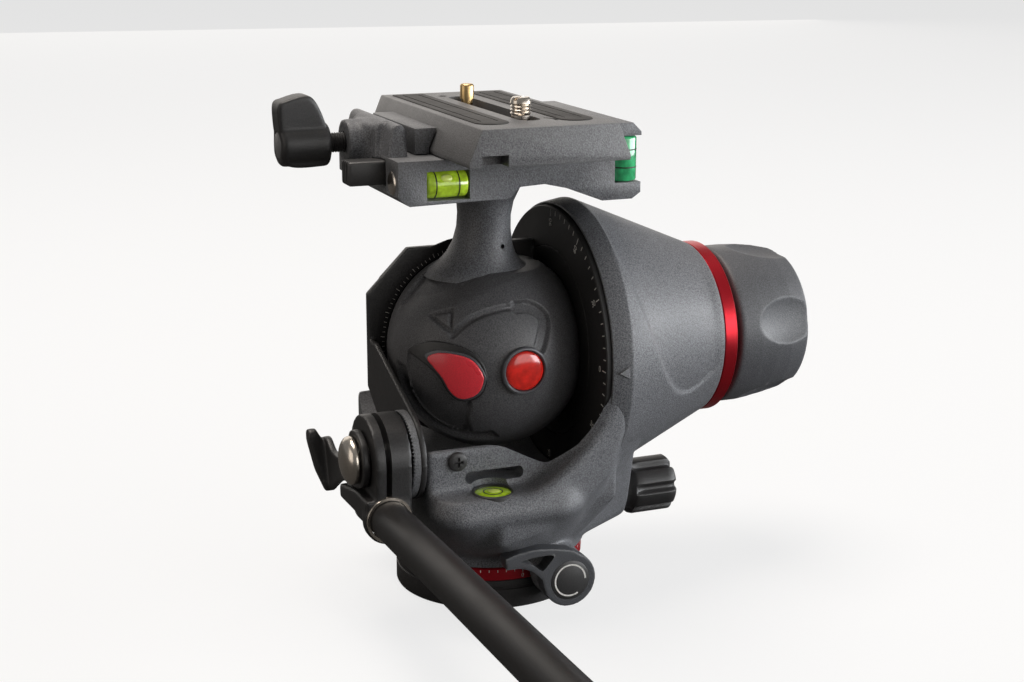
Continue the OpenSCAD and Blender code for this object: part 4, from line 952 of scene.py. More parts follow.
@dataclass
class Carrier:
    """Black tilt carrier behind the ball, with the tilt and roll scales and the rosette.

    Attributes:
        face_y: Front face behind the ball.
        left: Left face.
        bowl_r: Radius of the bowl behind the ball.
        rim_t: Thickness of the flat rim round it.
        hub_x: Near end of the hub.
        hub_r: Radius of the hub.
        hub_end: Far end of the hub.
        cup_r: Radius of the cup that the ball turns in.
        scale_r: Outer radius of the tilt scale.
        rosette: Centre of the rosette in Y and Z.
        teeth: Teeth of the rosette.
    """

    face_y: float = 13.5
    left: float = -35.2
    bowl_r: float = 36.5
    rim_t: float = 3.0
    hub_x: float = 22.0
    hub_r: float = 31.0
    hub_end: float = 37.6
    cup_r: float = 32.4
    scale_r: float = 43.8
    rosette: Pair = STUD
    teeth: int = 72

    def build(self) -> None:
        """Builds and dresses the carrier."""
        placed("carrier_casting", self.shell(), "carrier", BLACK_CASTING, ["tilt_carrier"])
        ring = turned([(self.hub_x, 31.05), (self.hub_x, self.scale_r - 0.3),
                       (self.hub_x + 0.3, self.scale_r), (25.6, self.scale_r), (25.6, 31.05)], Axis.X, TILT,
                      192)
        placed("tilt_scale_disc", ring, "carrier", SCALE_BLACK, ["tilt_scale_ring"])
        placed("tilt_scale_print", fused(*self.tilt_marks()), "carrier", PRINT_WHITE)
        placed("roll_scale_print", fused(*self.roll_marks()), "carrier", PRINT_WHITE)
        placed("rosette_teeth", self.toothed(), "carrier", CHARCOAL, ["rosette"], sharp=20.0)
        self.dome()
        painted(TURNED_STEEL, "tilt_shaft", "arm_stud")
        painted(LINING, "drag_disc")

    def shell(self) -> BMesh:
        """Returns the bowl, rim, hub and cheek as one casting."""
        outline = [(self.hub_x, self.hub_r), (self.left + 13.7, self.hub_r), (self.left, 17.0),
                   (self.left, -14.0), (self.left + 7.2, -22.0), (self.hub_x, -self.hub_r)]
        rim_back = self.face_y + self.rim_t
        rim = drawn([(x, z + TILT_Z) for x, z in outline], Axis.Y, self.face_y, rim_back)
        room = block((-60.0, self.face_y, TILT_Z - 60.0), (self.hub_x, 60.0, TILT_Z + 60.0))
        bowl = combined(globe(self.bowl_r, TILT, 128), room, Cut.SHARE)
        hub = rod(Axis.X, self.hub_r, self.hub_x, self.hub_end, TILT, 128)
        inside = self.left + 1.9
        round_end = rod(Axis.X, 14.0, self.left, inside, (0.0, *self.rosette), 64)
        root = block((self.left, rim_back - 8.0, TILT_Z - 14.0), (inside, rim_back, TILT_Z + 2.0))
        cast = melted(fused(bowl, rim, hub, hull_of(round_end, root)), 0.5, 2)
        nut_room = rod(Axis.Y, 7.8, 35.9, 50.0, TILT)
        stud_hole = rod(Axis.X, 4.05, -50.0, -20.0, (0.0, *self.rosette))
        return carved(cast, globe(self.cup_r, TILT, 160), rod(Axis.Y, 5.15, 0.0, 50.0, TILT), nut_room,
                      stud_hole)

    def tilt_marks(self) -> list[BMesh]:
        """Returns the marks and numbers on the tilt scale's face."""
        found = []
        for angle in range(-90, 91, 5):
            long = angle % 30 == 0
            turn = Matrix.Translation(TILT) @ Matrix.Rotation(math.radians(-angle), 4, "X")
            mark = block((self.hub_x - 0.05, -43.1, -0.16),
                         (self.hub_x + 0.2, -41.5 if not long else -40.7, 0.16))
            found.append(moved(mark, turn))
            if long:
                reading = Matrix(((0, 0, -1, self.hub_x), (-1, 0, 0, -38.7), (0, 1, 0, 0), (0, 0, 0, 1)))
                found.append(moved(numeral(str(abs(angle)), 1.9, 0.1), turn @ reading))
        return found

    def roll_marks(self) -> list[BMesh]:
        """Returns the fine marks on the carrier's front face, round the ball's left edge."""
        found = []
        for angle in range(100, 200, 3):
            long = angle % 15 == 10
            a = math.radians(angle)
            inner, outer = 30.0, 31.4 if long else 30.9
            mark = block((inner, self.face_y - 0.04, -0.1), (outer, self.face_y + 0.2, 0.1))
            found.append(moved(mark, Matrix.Translation(TILT) @ Matrix.Rotation(-a, 4, "Y")))
        return found

    def toothed(self) -> BMesh:
        """Returns the rosette with its radial teeth."""
        ring = turned([(-37.0, 4.05), (-37.0, 9.0), (-37.0, 11.0), (-37.0, 13.3), (-36.6, 13.5),
                       (self.left, 13.5), (self.left, 4.05)], Axis.X, (0.0, *self.rosette), self.teeth * 2)

        def crests(spots: np.ndarray) -> np.ndarray:
            """Raises every second spoke of the outer face."""
            y, z = spots[:, 1] - self.rosette[0], spots[:, 2] - self.rosette[1]
            spoke = np.round(np.arctan2(z, y) / math.tau * self.teeth * 2).astype(int)
            raised = (spots[:, 0] < -36.8) & (np.hypot(y, z) > 8.0) & (spoke % 2 == 0)
            spots[:, 0] -= 0.6 * raised
            return spots
        return reshaped(ring, crests)

    def dome(self) -> None:
        """Plated dome nut on the arm's stud."""
        base, crown = -52.3, -53.1
        profile = [(base, 4.05), (base, 7.2), (base - 0.3, 7.4), (crown, 7.4)]
        profile += [(crown - 3.3 * math.sin(a), 7.4 * math.cos(a))
                    for a in np.linspace(0.12, math.pi / 2, 14)]
        profile[-1] = (crown - 3.3, 0.0)
        inner = [(base - 2.0, 0.0), (base - 2.0, 4.05)]
        placed("dome_nut_plated", turned(profile + inner, Axis.X, (0.0, *self.rosette), 96), "carrier",
               NICKEL, ["dome_nut"])


@dataclass
class Ball:
    """Ball with its badge, mode lever and carved front.

    Attributes:
        flat_z: Flat under the neck, above the centre.
        lever_az: Turn of the lever's pivot toward the left, in degrees.
        lever_el: Height of that pivot, in degrees.
        badge_r: Radius of the badge's bezel.
    """

    flat_z: float = 27.0
    lever_az: float = 34.0
    lever_el: float = -5.0
    badge_r: float = 7.5

    def build(self) -> None:
        """Builds and dresses the ball and its lever."""
        placed("ball_carved", self.sphere(), "ball_unit", BALL_PAINT, ["ball"], sharp=60.0)
        self.badge()
        self.lever()
        painted(TURNED_STEEL, "roll_axle", "roll_nut", "mode_pin")
        painted(ACETAL, "roll_lock_pad")

    @staticmethod
    def toward(azimuth: float, elevation: float) -> np.ndarray:
        """Unit vector to a place on the ball, turned from the front toward the left."""
        a, e = math.radians(azimuth), math.radians(elevation)
        return np.array((-math.sin(a) * math.cos(e), -math.cos(a) * math.cos(e), math.sin(e)))

    def lever_frame(self) -> Matrix:
        """Matrix from the lever's own frame, with -Y out of the ball, to the head's frame."""
        return (Matrix.Translation(TILT) @ Matrix.Rotation(math.radians(-self.lever_az), 4, "Z")
                @ Matrix.Rotation(math.radians(-self.lever_el), 4, "X"))

    def offsets(self, units: np.ndarray, route: Sequence[Pair]) -> np.ndarray:
        """Distance of every point of the ball from a line on it.

        Args:
            units: Unit vectors of the points.
            route: Azimuths and elevations along the line, from the left to the right.

        Returns:
            The distances in millimetres, negative below the line.
        """
        nearest, signed = np.full(len(units), np.inf), np.zeros(len(units))
        stops = [self.toward(*spot) for spot in route]
        for a, b in zip(stops, stops[1:]):
            ab = b - a
            t = np.clip(((units - a) @ ab) / (ab @ ab), 0.0, 1.0)
            away = units - a - t[:, None] * ab
            gap = np.linalg.norm(away, axis=1) * BALL_R
            side = np.where(away @ np.cross(a + b, ab) < 0.0, -1.0, 1.0)
            signed = np.where(gap < nearest, gap * side, signed)
            nearest = np.minimum(nearest, gap)
        return signed

    def groove(self, units: np.ndarray, route: Sequence[Pair], width: float, depth: float) -> np.ndarray:
        """Depth at every point of a groove with a floor of a half width."""
        return depth * (1.0 - smooth_step(np.abs(self.offsets(units, route)), width, width + 0.6))

    def pocket(self, units: np.ndarray) -> np.ndarray:
        """Depth of the sector that the mode lever sweeps, with the groove round it."""
        inverse = np.array(self.lever_frame().inverted().to_3x3())
        local = units @ inverse.T * BALL_R
        reach = np.hypot(local[:, 0], local[:, 2])
        angle = np.degrees(np.arctan2(local[:, 2], local[:, 0])) % 360.0
        front = local[:, 1] < 0.0
        sector = smooth_step(angle, 160.0, 164.0) * (1.0 - smooth_step(angle, 270.0, 273.0)) * front
        floor = 1.0 * sector * (1.0 - smooth_step(reach, 19.4, 20.2))
        round_it = smooth_step(angle, 176.0, 182.0) * (1.0 - smooth_step(angle, 286.0, 292.0)) * front
        band = 1.9 * round_it * smooth_step(reach, 19.6, 20.6) * (1.0 - smooth_step(reach, 23.0, 24.2))
        return np.maximum(floor, band)

    def carve(self, spots: np.ndarray) -> np.ndarray:
        """Presses the front's pockets and grooves into the ball and flattens its top."""
        rays = spots - np.array(TILT)
        units = rays / np.linalg.norm(rays, axis=1)[:, None]
        depth = self.pocket(units)
        thin = curve_through([(41.4, 19.7), (33.6, 27.1), (23.1, 32.7), (6.9, 35.8), (-5.6, 35.9)], 5,
                             closed=False)
        wide = curve_through([(0.0, 35.6), (-8.0, 35.2), (-14.5, 31.8), (-17.2, 26.4), (-14.1, 19.1),
                              (-10.4, 12.0)], 5, closed=False)
        lines = [(thin, 0.5, 1.1), (wide, 1.7, 1.5), ([(31.5, -17.9), (39.5, -44.5)], 0.45, 1.6)]
        corners = [(59.3, 29.1), (44.7, 33.7), (43.1, 21.7)]
        lines += [([corners[i - 1], corners[i]], 0.2, 0.9) for i in range(3)]
        for route, width, pressed in lines:
            depth = np.maximum(depth, self.groove(units, route, width, pressed))
        brow = [(100.0, 20.0), (84.0, 23.5), (65.9, 27.6), (53.4, 31.3), (35.7, 40.0), (10.7, 48.9),
                (-19.7, 55.4), (-84.0, 58.0)]
        facet = 1.5 * np.clip(self.offsets(units, brow) / 8.0, 0.0, 1.0) * (units[:, 1] < 0.1)
        depth = np.maximum(depth, facet)
        spots = np.array(TILT) + units * (BALL_R - depth)[:, None]
        spots[:, 2] = np.minimum(spots[:, 2], TILT_Z + self.flat_z)
        return spots

    def sphere(self) -> BMesh:
        """Returns the carved ball, with the hole for the lock pad left to the pad."""
        bm = bmesh.new()
        bmesh.ops.create_uvsphere(bm, u_segments=400, v_segments=200, radius=BALL_R)
        bmesh.ops.translate(bm, verts=bm.verts[:], vec=TILT)
        return reshaped(bm, self.carve)

    def badge(self) -> None:
        """Bare round badge on the roll axis: grey bezel and red dome."""
        r, front = self.badge_r, -BALL_R
        bezel = turned([(front + 4.4, 0.0), (front + 4.4, r), (front - 0.5, r), (front - 0.8, r - 0.3),
                        (front - 0.85, r - 0.7), (front - 0.6, r - 1.1), (front + 0.3, r - 1.3),
                        (front + 3.0, r - 1.3), (front + 3.0, 0.0)], Axis.Y, TILT, 96)
        placed("badge_bezel_ring", bezel, "ball_unit", BEZEL_GREY, ["badge_bezel"])
        dome = [(front + 3.0, 0.0), (front + 3.0, r - 1.35), (front + 0.1, r - 1.35)]
        dome += [(front + 0.1 - 1.3 * math.sin(a), (r - 1.35) * math.cos(a))
                 for a in np.linspace(0.1, math.pi / 2, 14)]
        dome[-1] = (front - 1.2, 0.0)
        placed("badge_dome_red", turned(dome, Axis.Y, TILT, 96), "ball_unit", RED_BADGE,
               ["badge_dome"])

    def pillow(self, outline: Sequence[Pair], low: float, high: float, crown_r: float, voxel: float) -> BMesh:
        """Pillow on the ball's skin, from an outline in the lever's face.

        Args:
            outline: Points to the right and up from the pivot.
            low: Radius of its underside.
            high: Radius of its crown at the pivot.
            crown_r: Radius that the crown is domed to.
            voxel: Grid that it is moulded on.

        Returns:
            The pillow, in the head's frame.
        """
        crown = combined(drawn(outline, Axis.Y, -40.0, -15.0),
                         globe(crown_r, (0.0, crown_r - high, 0.0), 128), Cut.SHARE)
        return moved(melted(carved(crown, globe(low, ORIGIN, 160)), voxel, 4), self.lever_frame())

    def lever(self) -> None:
        """Mode lever: black leaf, grey rim and red insert."""
        leaf = [(-18.6, 7.2), (-13.5, 10.4), (-7.5, 11.6), (0.6, 10.4), (5.6, 6.9), (7.5, 2.2), (7.1, -1.6),
                (5.1, -4.8), (1.9, -6.3), (-2.0, -6.2), (-5.2, -3.5), (-7.6, 0.5), (-10.8, 3.2), (-14.8, 5.2)]
        drop = [(-11.4, 6.5), (-7.4, 8.6), (-0.8, 8.5), (3.5, 6.9), (6.1, 3.5), (6.6, 0.8), (5.0, -2.9),
                (1.7, -5.0), (-1.5, -5.0), (-4.1, -2.6), (-6.2, 1.1), (-9.1, 4.0)]
        middle = (0.4, 1.8)
        rim = [(middle[0] + (x - middle[0]) * 1.1, middle[1] + (z - middle[1]) * 1.1) for x, z in drop]
        body = self.pillow(curve_through(leaf, 6), 32.45, 33.3, 33.3, 0.2)
        placed("mode_lever_body", body, "mode_lever", BLACK_PLASTIC, ["mode_lever"])
        edge = self.pillow(curve_through(rim, 6), 33.1, 33.95, 31.0, 0.2)
        placed("mode_lever_rim", edge, "mode_lever", BEZEL_GREY)
        insert = self.pillow(curve_through(drop, 6), 33.2, 34.4, 30.0, 0.2)
        placed("mode_lever_insert", insert, "mode_lever", RED_LEVER, ["mode_insert"])


@dataclass
class Neck:
    """Waisted neck between the ball and the clamp.

    Attributes:
        rows: Height, half width, half depth and shift to the left of each section.
        sides: Points round a section.
    """

    rows: tuple[Section, ...] = ((102.4, 17.6, 15.6, 2.8), (104.6, 15.9, 14.5, 2.7),
                                 (106.4, 13.2, 13.2, 2.4), (109.0, 10.8, 12.0, 2.0), (112.5, 9.2, 11.2, 1.5),
                                 (117.0, 8.2, 10.9, 1.1), (121.5, 8.0, 11.0, 0.9), (126.0, 8.6, 11.8, 0.6),
                                 (130.0, 10.2, 13.2, 0.2), (133.0, 12.2, 15.0, -0.2),
                                 (136.2, 14.4, 16.6, -0.6))
    sides: int = 64

    def build(self) -> None:
        """Builds and dresses the neck."""
        bm = bmesh.new()
        loops = []
        for height, half_x, half_y, shift in self.rows:
            made = bmesh.ops.create_circle(bm, cap_ends=False, radius=1.0, segments=self.sides)["verts"]
            bmesh.ops.scale(bm, verts=made, vec=(half_x, half_y, 1.0))
            bmesh.ops.translate(bm, verts=made, vec=(-shift, 0.0, height))
            loops.append(list({e for v in made for e in v.link_edges}))
        for first, second in zip(loops, loops[1:]):
            bmesh.ops.bridge_loops(bm, edges=first + second)
        bmesh.ops.holes_fill(bm, edges=bm.edges[:], sides=0)
        neck = settled(bm)
        dimple = rod(Axis.Y, 0.75, -20.0, -8.0, (1.2, 0.0, 112.6), 24)
        placed("neck_casting", carved(neck, dimple), "ball_unit", CHARCOAL, ["neck"])


@dataclass
class Clamp:
    """Plate clamp with its levels, jaw, screw, knob and release button.

    Attributes:
        half_x: Half width of the body.
        half_y: Half length of the body.
        floor_z: Floor of the channel.
        rail_z: Top of the rails.
        screw_z: Height of the clamp's screw.
        plug_spot: Middle of the plug in Y and Z.
    """

    half_x: float = 38.8
    half_y: float = 30.0
    floor_z: float = 143.8
    rail_z: float = 151.8
    screw_z: float = 146.2
    plug_spot: Pair = (-24.0, 136.8)

    def build(self) -> None:
        """Builds and dresses the clamp."""
        placed("clamp_floor", self.floor(), "ball_unit", CHARCOAL, ["clamp_body"])
        placed("clamp_wall", self.wall(), "ball_unit", CHARCOAL, ["clamp_body"])
        jaw = rounded(drawn([(-25.4, 144.0), (-25.4, 145.7), (-22.9, 151.8), (-29.9, 151.8), (-29.9, 144.0)],
                            Axis.Y, -19.0, 22.0), 0.4)
        placed("clamp_jaw_bar", carved(jaw, self.screw_room(-27.9)), "clamp_jaw", CHARCOAL,
               ["clamp_jaw"])
        self.levels()
        self.knob()
        self.button()
        plug = turned([(-39.3, 0.0), (-39.3, 2.7), (-39.1, 3.2), (-38.8, 3.5), (-36.8, 3.5), (-36.8, 0.0)],
                      Axis.X, (0.0, *self.plug_spot), 48)
        placed("clamp_plug_disc", plug, "ball_unit", NICKEL, ["clamp_plug"])
        painted(TURNED_STEEL, "button_spring")

    def floor(self) -> BMesh:
        """Returns the floor and the fixed rail, with the seats of the levels."""
        x, low, foot = self.half_x, self.floor_z - 13.2, self.floor_z - 15.2
        arch = self.floor_z - 9.0
        outline = [(-x, low + 2.6), (-x + 3.4, low), (-4.0, low + 0.6), (-1.0, arch - 0.4), (7.0, arch),
                   (14.0, arch - 1.6), (26.0, foot), (x - 2.8, foot), (x, foot + 1.9),
                   (x, self.rail_z - 2.8), (x - 2.8, self.rail_z), (22.9, self.rail_z),
                   (25.4, self.floor_z + 1.9), (25.4, self.floor_z), (-x, self.floor_z)]
        body = drawn(outline, Axis.Y, -self.half_y, self.half_y)
        front = -self.half_y - 2.0
        vial = block((-30.1, front, 131.9), (-16.8, -22.4, 140.5))
        side = block((30.1, front, 133.7), (45.0, -22.4, 147.9))
        plug = rod(Axis.X, 3.55, -50.0, -36.8, (0.0, *self.plug_spot), 48)
        return rounded(carved(body, vial, side, self.button_room(), plug, self.screw_room(0.0)), 0.55, 2)

    def screw_room(self, end: float) -> BMesh:
        """Room for the clamp's screw, from the left up to an end."""
        return rod(Axis.X, 3.15, -60.0, end, (0.0, 0.0, self.screw_z), 48)

    @staticmethod
    def button_room() -> BMesh:
        """Room that the release button slides in."""
        return block((-60.0, -18.3, 135.1), (-30.2, -9.7, 142.9))

    def wall(self) -> BMesh:
        """Returns the sculpted wall behind the jaw, with the boss of the screw."""
        ridge = hull_of(rod(Axis.Y, 2.2, -19.0, 24.0, (-34.8, 0.0, 151.0)),
                        rod(Axis.Y, 1.6, -19.0, 24.0, (-34.2, 0.0, 146.0)),
                        block((-self.half_x, -21.0, 141.5), (-32.6, 26.0, 143.5)))
        shoulder = hull_of(rod(Axis.Y, 3.4, -11.0, 13.0, (-36.2, 0.0, 150.0)),
                           block((-self.half_x - 1.5, -13.0, 139.5), (-32.6, 16.0, 142.0)))
        boss = rod(Axis.X, 6.8, -46.0, -34.0, (0.0, 0.0, self.screw_z))
        collar = hull_of(rod(Axis.X, 6.8, -42.0, -38.0, (0.0, 0.0, self.screw_z)),
                         block((-self.half_x, -10.0, 140.0), (-36.0, 11.0, 152.0)))
        cast = melted(fused(ridge, shoulder, boss, collar), 0.5, 6)
        room = block((-32.55, -40.0, 143.85), (0.0, 40.0, 160.0))
        return carved(cast, room, self.button_room(), self.screw_room(-20.0))

    def levels(self) -> None:
        """Two tube levels: fluid, bubble and black lines."""
        y, z = -26.5, 136.2
        tube = turned(self.tube_profile(-29.7, -17.2, 4.0), Axis.X, (0.0, y, z), 64)
        placed("front_level_fluid", tube, "ball_unit", FLUID, ["front_vial"])
        bubble = globe(1.0, ORIGIN, 40)
        bmesh.ops.scale(bubble, verts=bubble.verts[:], vec=(2.3, 1.7, 1.5))
        placed("front_level_bubble", moved(bubble, Matrix.Translation((-23.9, y - 2.35, z + 1.75))),
               "ball_unit", BUBBLE)
        lines = [turned([(x, 4.0), (x, 4.06), (x + 0.4, 4.06), (x + 0.4, 4.0)], Axis.X, (0.0, y, z), 64)
                 for x in (-27.4, -20.3)]
        placed("front_level_lines", fused(*lines), "ball_unit", PRINT_BLACK)
        tube = turned(self.tube_profile(134.0, 147.6, 4.0), Axis.Z, (34.4, y, 0.0), 64)
        placed("side_level_fluid", tube, "ball_unit", DARK_FLUID, ["side_vial"])
        lines = [turned([(h, 4.0), (h, 4.06), (h + 0.4, 4.06), (h + 0.4, 4.0)], Axis.Z, (34.4, y, 0.0), 64)
                 for h in (138.0, 143.4)]
        placed("side_level_lines", fused(*lines), "ball_unit", PRINT_BLACK)

    @staticmethod
    def tube_profile(low: float, high: float, radius: float) -> list[Pair]:
        """Profile of a tube level with rounded ends."""
        return [(low, 0.0), (low, radius - 0.6), (low + 0.2, radius - 0.2), (low + 0.6, radius),
                (high - 0.6, radius), (high - 0.2, radius - 0.2), (high, radius - 0.6), (high, 0.0)]

    def knob(self) -> None:
        """Wing knob with its cap disc, on the threaded screw."""
        z = self.screw_z
        wing = curve_through([(-51.6, z - 5.5), (-51.2, z), (-52.4, z + 6.0), (-55.2, z + 12.6),
                              (-58.2, z + 14.8), (-64.0, z + 13.6), (-66.9, z + 11.6), (-66.4, z + 2.0),
                              (-66.2, z - 4.0), (-62.8, z - 6.4), (-55.0, z - 6.5)], 6)
        paddle = drawn(wing, Axis.Y, -4.4, 4.4)
        hub = turned([(-66.2, 0.0), (-66.2, 5.6), (-65.2, 6.5), (-52.0, 6.5), (-51.1, 5.6), (-51.1, 0.0)],
                     Axis.X, (0.0, 0.0, z), 64)
        cast = melted(fused(paddle, hub), 0.45, 6)
        seat = rod(Axis.X, 4.1, -70.0, -65.7, (0.0, 0.0, z), 48)
        screw = rod(Axis.X, 3.05, -64.5, -45.0, (0.0, 0.0, z), 48)
        placed("clamp_knob_wing", carved(cast, seat, screw), "clamp_knob", BLACK_PLASTIC,
               ["clamp_knob"])
        disc = turned([(-65.7, 0.0), (-65.7, 4.0), (-66.25, 4.0), (-66.4, 3.8), (-66.4, 0.0)], Axis.X,
                      (0.0, 0.0, z), 64)
        placed("clamp_knob_cap", disc, "clamp_knob", CAP_DISC)
        thread = [(-64.5, 0.0), (-64.5, 2.7)]
        pitch = 0.8
        for i in range(int((64.5 - 31.5) / pitch)):
            x = -64.3 + i * pitch
            thread += [(x, 2.65), (x + pitch / 2, 3.0)]
        thread += [(-30.4, 2.7), (-30.1, 2.4), (-30.1, 0.0)]
        placed("clamp_screw_thread", turned(thread, Axis.X, (0.0, 0.0, z), 48), "clamp_knob", BLACK_CASTING,
               ["clamp_screw"], sharp=25.0)

    def button(self) -> None:
        """Release button with a ribbed thumb face."""
        body = block((-50.0, -17.9, 135.4), (-33.6, -10.1, 142.6))
        ribs = [block((-50.6, y - 0.35, 134.0), (-49.5, y + 0.35, 144.0)) for y in (-15.8, -14.0, -12.2)]
        placed("release_button_cap", rounded(carved(rounded(body, 0.9, 3), *ribs), 0.15, 1, 50.0),
               "release_button", BLACK_PLASTIC, ["release_button"])


@dataclass
class Plate:
    """Sliding camera plate with rubber strips, camera screw and anti-twist pin.

    Attributes:
        bottom: Underside.
        top: Top face.
        front: Front end.
        back: Back end.
        half_low: Half width of the underside.
        half_top: Half width of the top.
        edge: Height of the straight edge under the slope.
        screw_y: Place of the camera screw.
        pin_y: Place of the anti-twist pin.
    """

    bottom: float = 144.1
    top: float = 155.0
    front: float = -51.4
    back: float = 40.6
    half_low: float = 25.0
    half_top: float = 21.1
    edge: float = 1.5
    screw_y: float = -28.0
    pin_y: float = 17.0

    def build(self) -> None:
        """Builds and dresses the plate and what slides in it."""
        placed("plate_body", self.body(), "camera_plate", PLATE_PAINT, ["camera_plate"])
        placed("plate_strips", fused(self.strip(1.0), self.strip(-1.0)), "camera_plate", RUBBER,
               ["plate_pads"])
        self.screw()
        self.pin()

    def slot(self, half: float, low: float, high: float, front: float = -34.0, back: float = 24.0) -> BMesh:
        """Round-ended slot along Y."""
        outline = arc((0.0, back), half, 0.0, 180.0, 16) + arc((0.0, front), half, 180.0, 360.0, 16)
        return drawn(outline, Axis.Z, low, high)

    def body(self) -> BMesh:
        """Returns the dovetail plate with its slots, seats and notch."""
        low, top = self.half_low, self.half_top
        outline = [(-low, self.bottom), (-low, self.bottom + self.edge), (-top, self.top), (top, self.top),
                   (low, self.bottom + self.edge), (low, self.bottom)]
        plate = rounded(drawn(outline, Axis.Y, self.front, self.back), 0.35, 2)
        tools = [self.slot(3.475, 140.0, 160.0), self.slot(7.0, 140.0, self.bottom + 5.4)]
        for side in (1.0, -1.0):
            seat = drawn(self.strip_outline(side, 0.12), Axis.Z, self.top - 0.8, 160.0)
            tools.append(seat)
        tools.append(block((-self.half_top, self.front - 5.0, 140.0),
                           (-self.half_top + 8.0, self.front + 6.0, 147.5)))
        tools.append(rod(Axis.Z, 1.3, 152.0, 160.0, (-3.5, 30.0, 0.0), 32))
        crescent = arc((2.4, -37.0), 5.4, -25.0, 55.0, 14) + arc((2.4, -37.0), 4.2, 55.0, -25.0, 14)
        tools.append(drawn(crescent, Axis.Z, 154.2, 160.0))
        return carved(plate, *tools)

    def strip_outline(self, side: float, grow: float) -> list[Pair]:
        """Outline of a rubber strip, round at its near end, on one side of the plate."""
        inner, outer = 8.0 - grow, 18.4 + grow
        half, near, far_end = (outer - inner) / 2, self.front + 8.6, self.back - 4.0
        points = arc(((inner + outer) / 2, near + half - grow), half, 180.0, 360.0, 20)
        points += [(outer, far_end + grow), (inner, far_end + grow)]
        return [(side * x, y) for x, y in points]

    def strip(self, side: float) -> BMesh:
        """Returns one rubber strip, with a groove along its middle."""
        pad = rounded(drawn(self.strip_outline(side, 0.0), Axis.Z, self.top - 0.8, self.top + 0.3), 0.2, 2,
                      50.0)
        grooves = [block((side * x - 0.25, self.front + 15.0, self.top + 0.05),
                         (side * x + 0.25, self.back - 7.0, 160.0)) for x in (10.6, 15.8)]
        return carved(pad, *grooves)

    def threaded(self, radius: float, low: float, high: float, pitch: float) -> list[Pair]:
        """Profile of a threaded stretch, as heights and radii."""
        count = int((high - low - 0.6) / pitch)
        points = []
        for i in range(count):
            points += [(low + i * pitch, radius - 0.45), (low + (i + 0.5) * pitch, radius)]
        return points + [(high - 0.5, radius - 0.3), (high, radius - 0.7)]

    def screw(self) -> None:
        """Camera screw with its slotted end."""
        profile = [(145.1, 0.0), (145.1, 6.2), (145.5, 6.6), (148.8, 6.6), (149.2, 6.2), (149.2, 2.78),
                   (155.5, 2.78)]
        profile += self.threaded(3.175, 155.6, 160.8, 1.0) + [(160.8, 0.0)]
        body = turned(profile, Axis.Z, (0.0, self.screw_y, 0.0), 64)
        slot = moved(block((-4.0, -0.5, 159.9), (4.0, 0.5, 162.0)),
                     Matrix.Translation((0.0, self.screw_y, 0.0))
                     @ Matrix.Rotation(math.radians(35.0), 4, "Z"))
        placed("camera_screw_thread", carved(body, slot), "camera_screw", NICKEL, ["camera_screw"],
               sharp=25.0)

    def pin(self) -> None:
        """Brass anti-twist pin with a bevelled end."""
        profile = [(145.1, 0.0), (145.1, 4.7), (145.4, 5.0), (148.9, 5.0), (149.2, 4.7), (149.2, 1.8),
                   (155.5, 1.8), (155.55, 2.2), (159.6, 2.2), (160.05, 1.95), (160.2, 1.6), (160.2, 0.0)]
        placed("anti_twist_pin_brass", turned(profile, Axis.Z, (0.0, self.pin_y, 0.0), 48), "anti_twist_pin",
               BRASS, ["anti_twist_pin"])


@dataclass
class MainKnob:
    """Main lock knob on the end of the cone.

    Attributes:
        near: Near end.
        end: Far end.
        radius: Radius at the near end.
        scoops: Thumb scoops round it.
    """

    near: float = 78.4
    end: float = 105.7
    radius: float = 26.4
    scoops: int = 5

    def build(self) -> None:
        """Builds and dresses the knob and the works behind it."""
        n, e, r = self.near, self.end, self.radius
        profile = [(n, 0.0), (n, r - 1.2), (n + 0.35, r - 0.35), (n + 1.2, r), (n + 8.0, r),
                   (n + 14.0, r - 0.35), (n + 20.0, r - 1.1), (e - 3.6, r - 2.0), (e - 1.4, r - 2.6),
                   (e - 0.4, r - 3.3), (e, r - 4.3), (e, 0.0)]
        body = turned(profile, Axis.X, TILT, 192)
        for i in range(self.scoops):
            body = carved(body, self.scoop(i * 360.0 / self.scoops + 12.0))
        cast = melted(body, 0.42, 2)
        placed("lock_knob_grip", carved(cast, rod(Axis.X, 6.05, 70.0, e + 5.0, TILT, 64)), "lock_knob",
               KNOB_GREY, ["lock_knob"])
        tip = [(61.5, 0.0), (61.5, 5.7), (61.8, 6.0), (e - 0.2, 6.0), (e, 5.8), (e, 4.0), (e + 2.4, 4.0),
               (e + 2.9, 3.6), (e + 3.0, 3.2), (e + 3.0, 0.0)]
        placed("knob_spindle_tip", turned(tip, Axis.X, TILT, 64), "lock_knob", CAP_DISC,
               ["knob_spindle"])
        painted(CAP_DISC, "pressure_plate")
        painted(LINING, "brake_lining")

    def scoop(self, angle: float) -> BMesh:
        """Thumb scoop at an angle above the front: a fat lens that opens toward the end."""
        lens = globe(1.0, ORIGIN, 64)
        bmesh.ops.scale(lens, verts=lens.verts[:], vec=(25.0, 16.5, 10.5))
        place = (Matrix.Translation(TILT) @ Matrix.Rotation(math.radians(-angle), 4, "X")
                 @ Matrix.Translation((self.end - 1.0, -self.radius - 6.6, 0.0))
                 @ Matrix.Rotation(math.pi / 2, 4, "X"))
        return moved(lens, place)


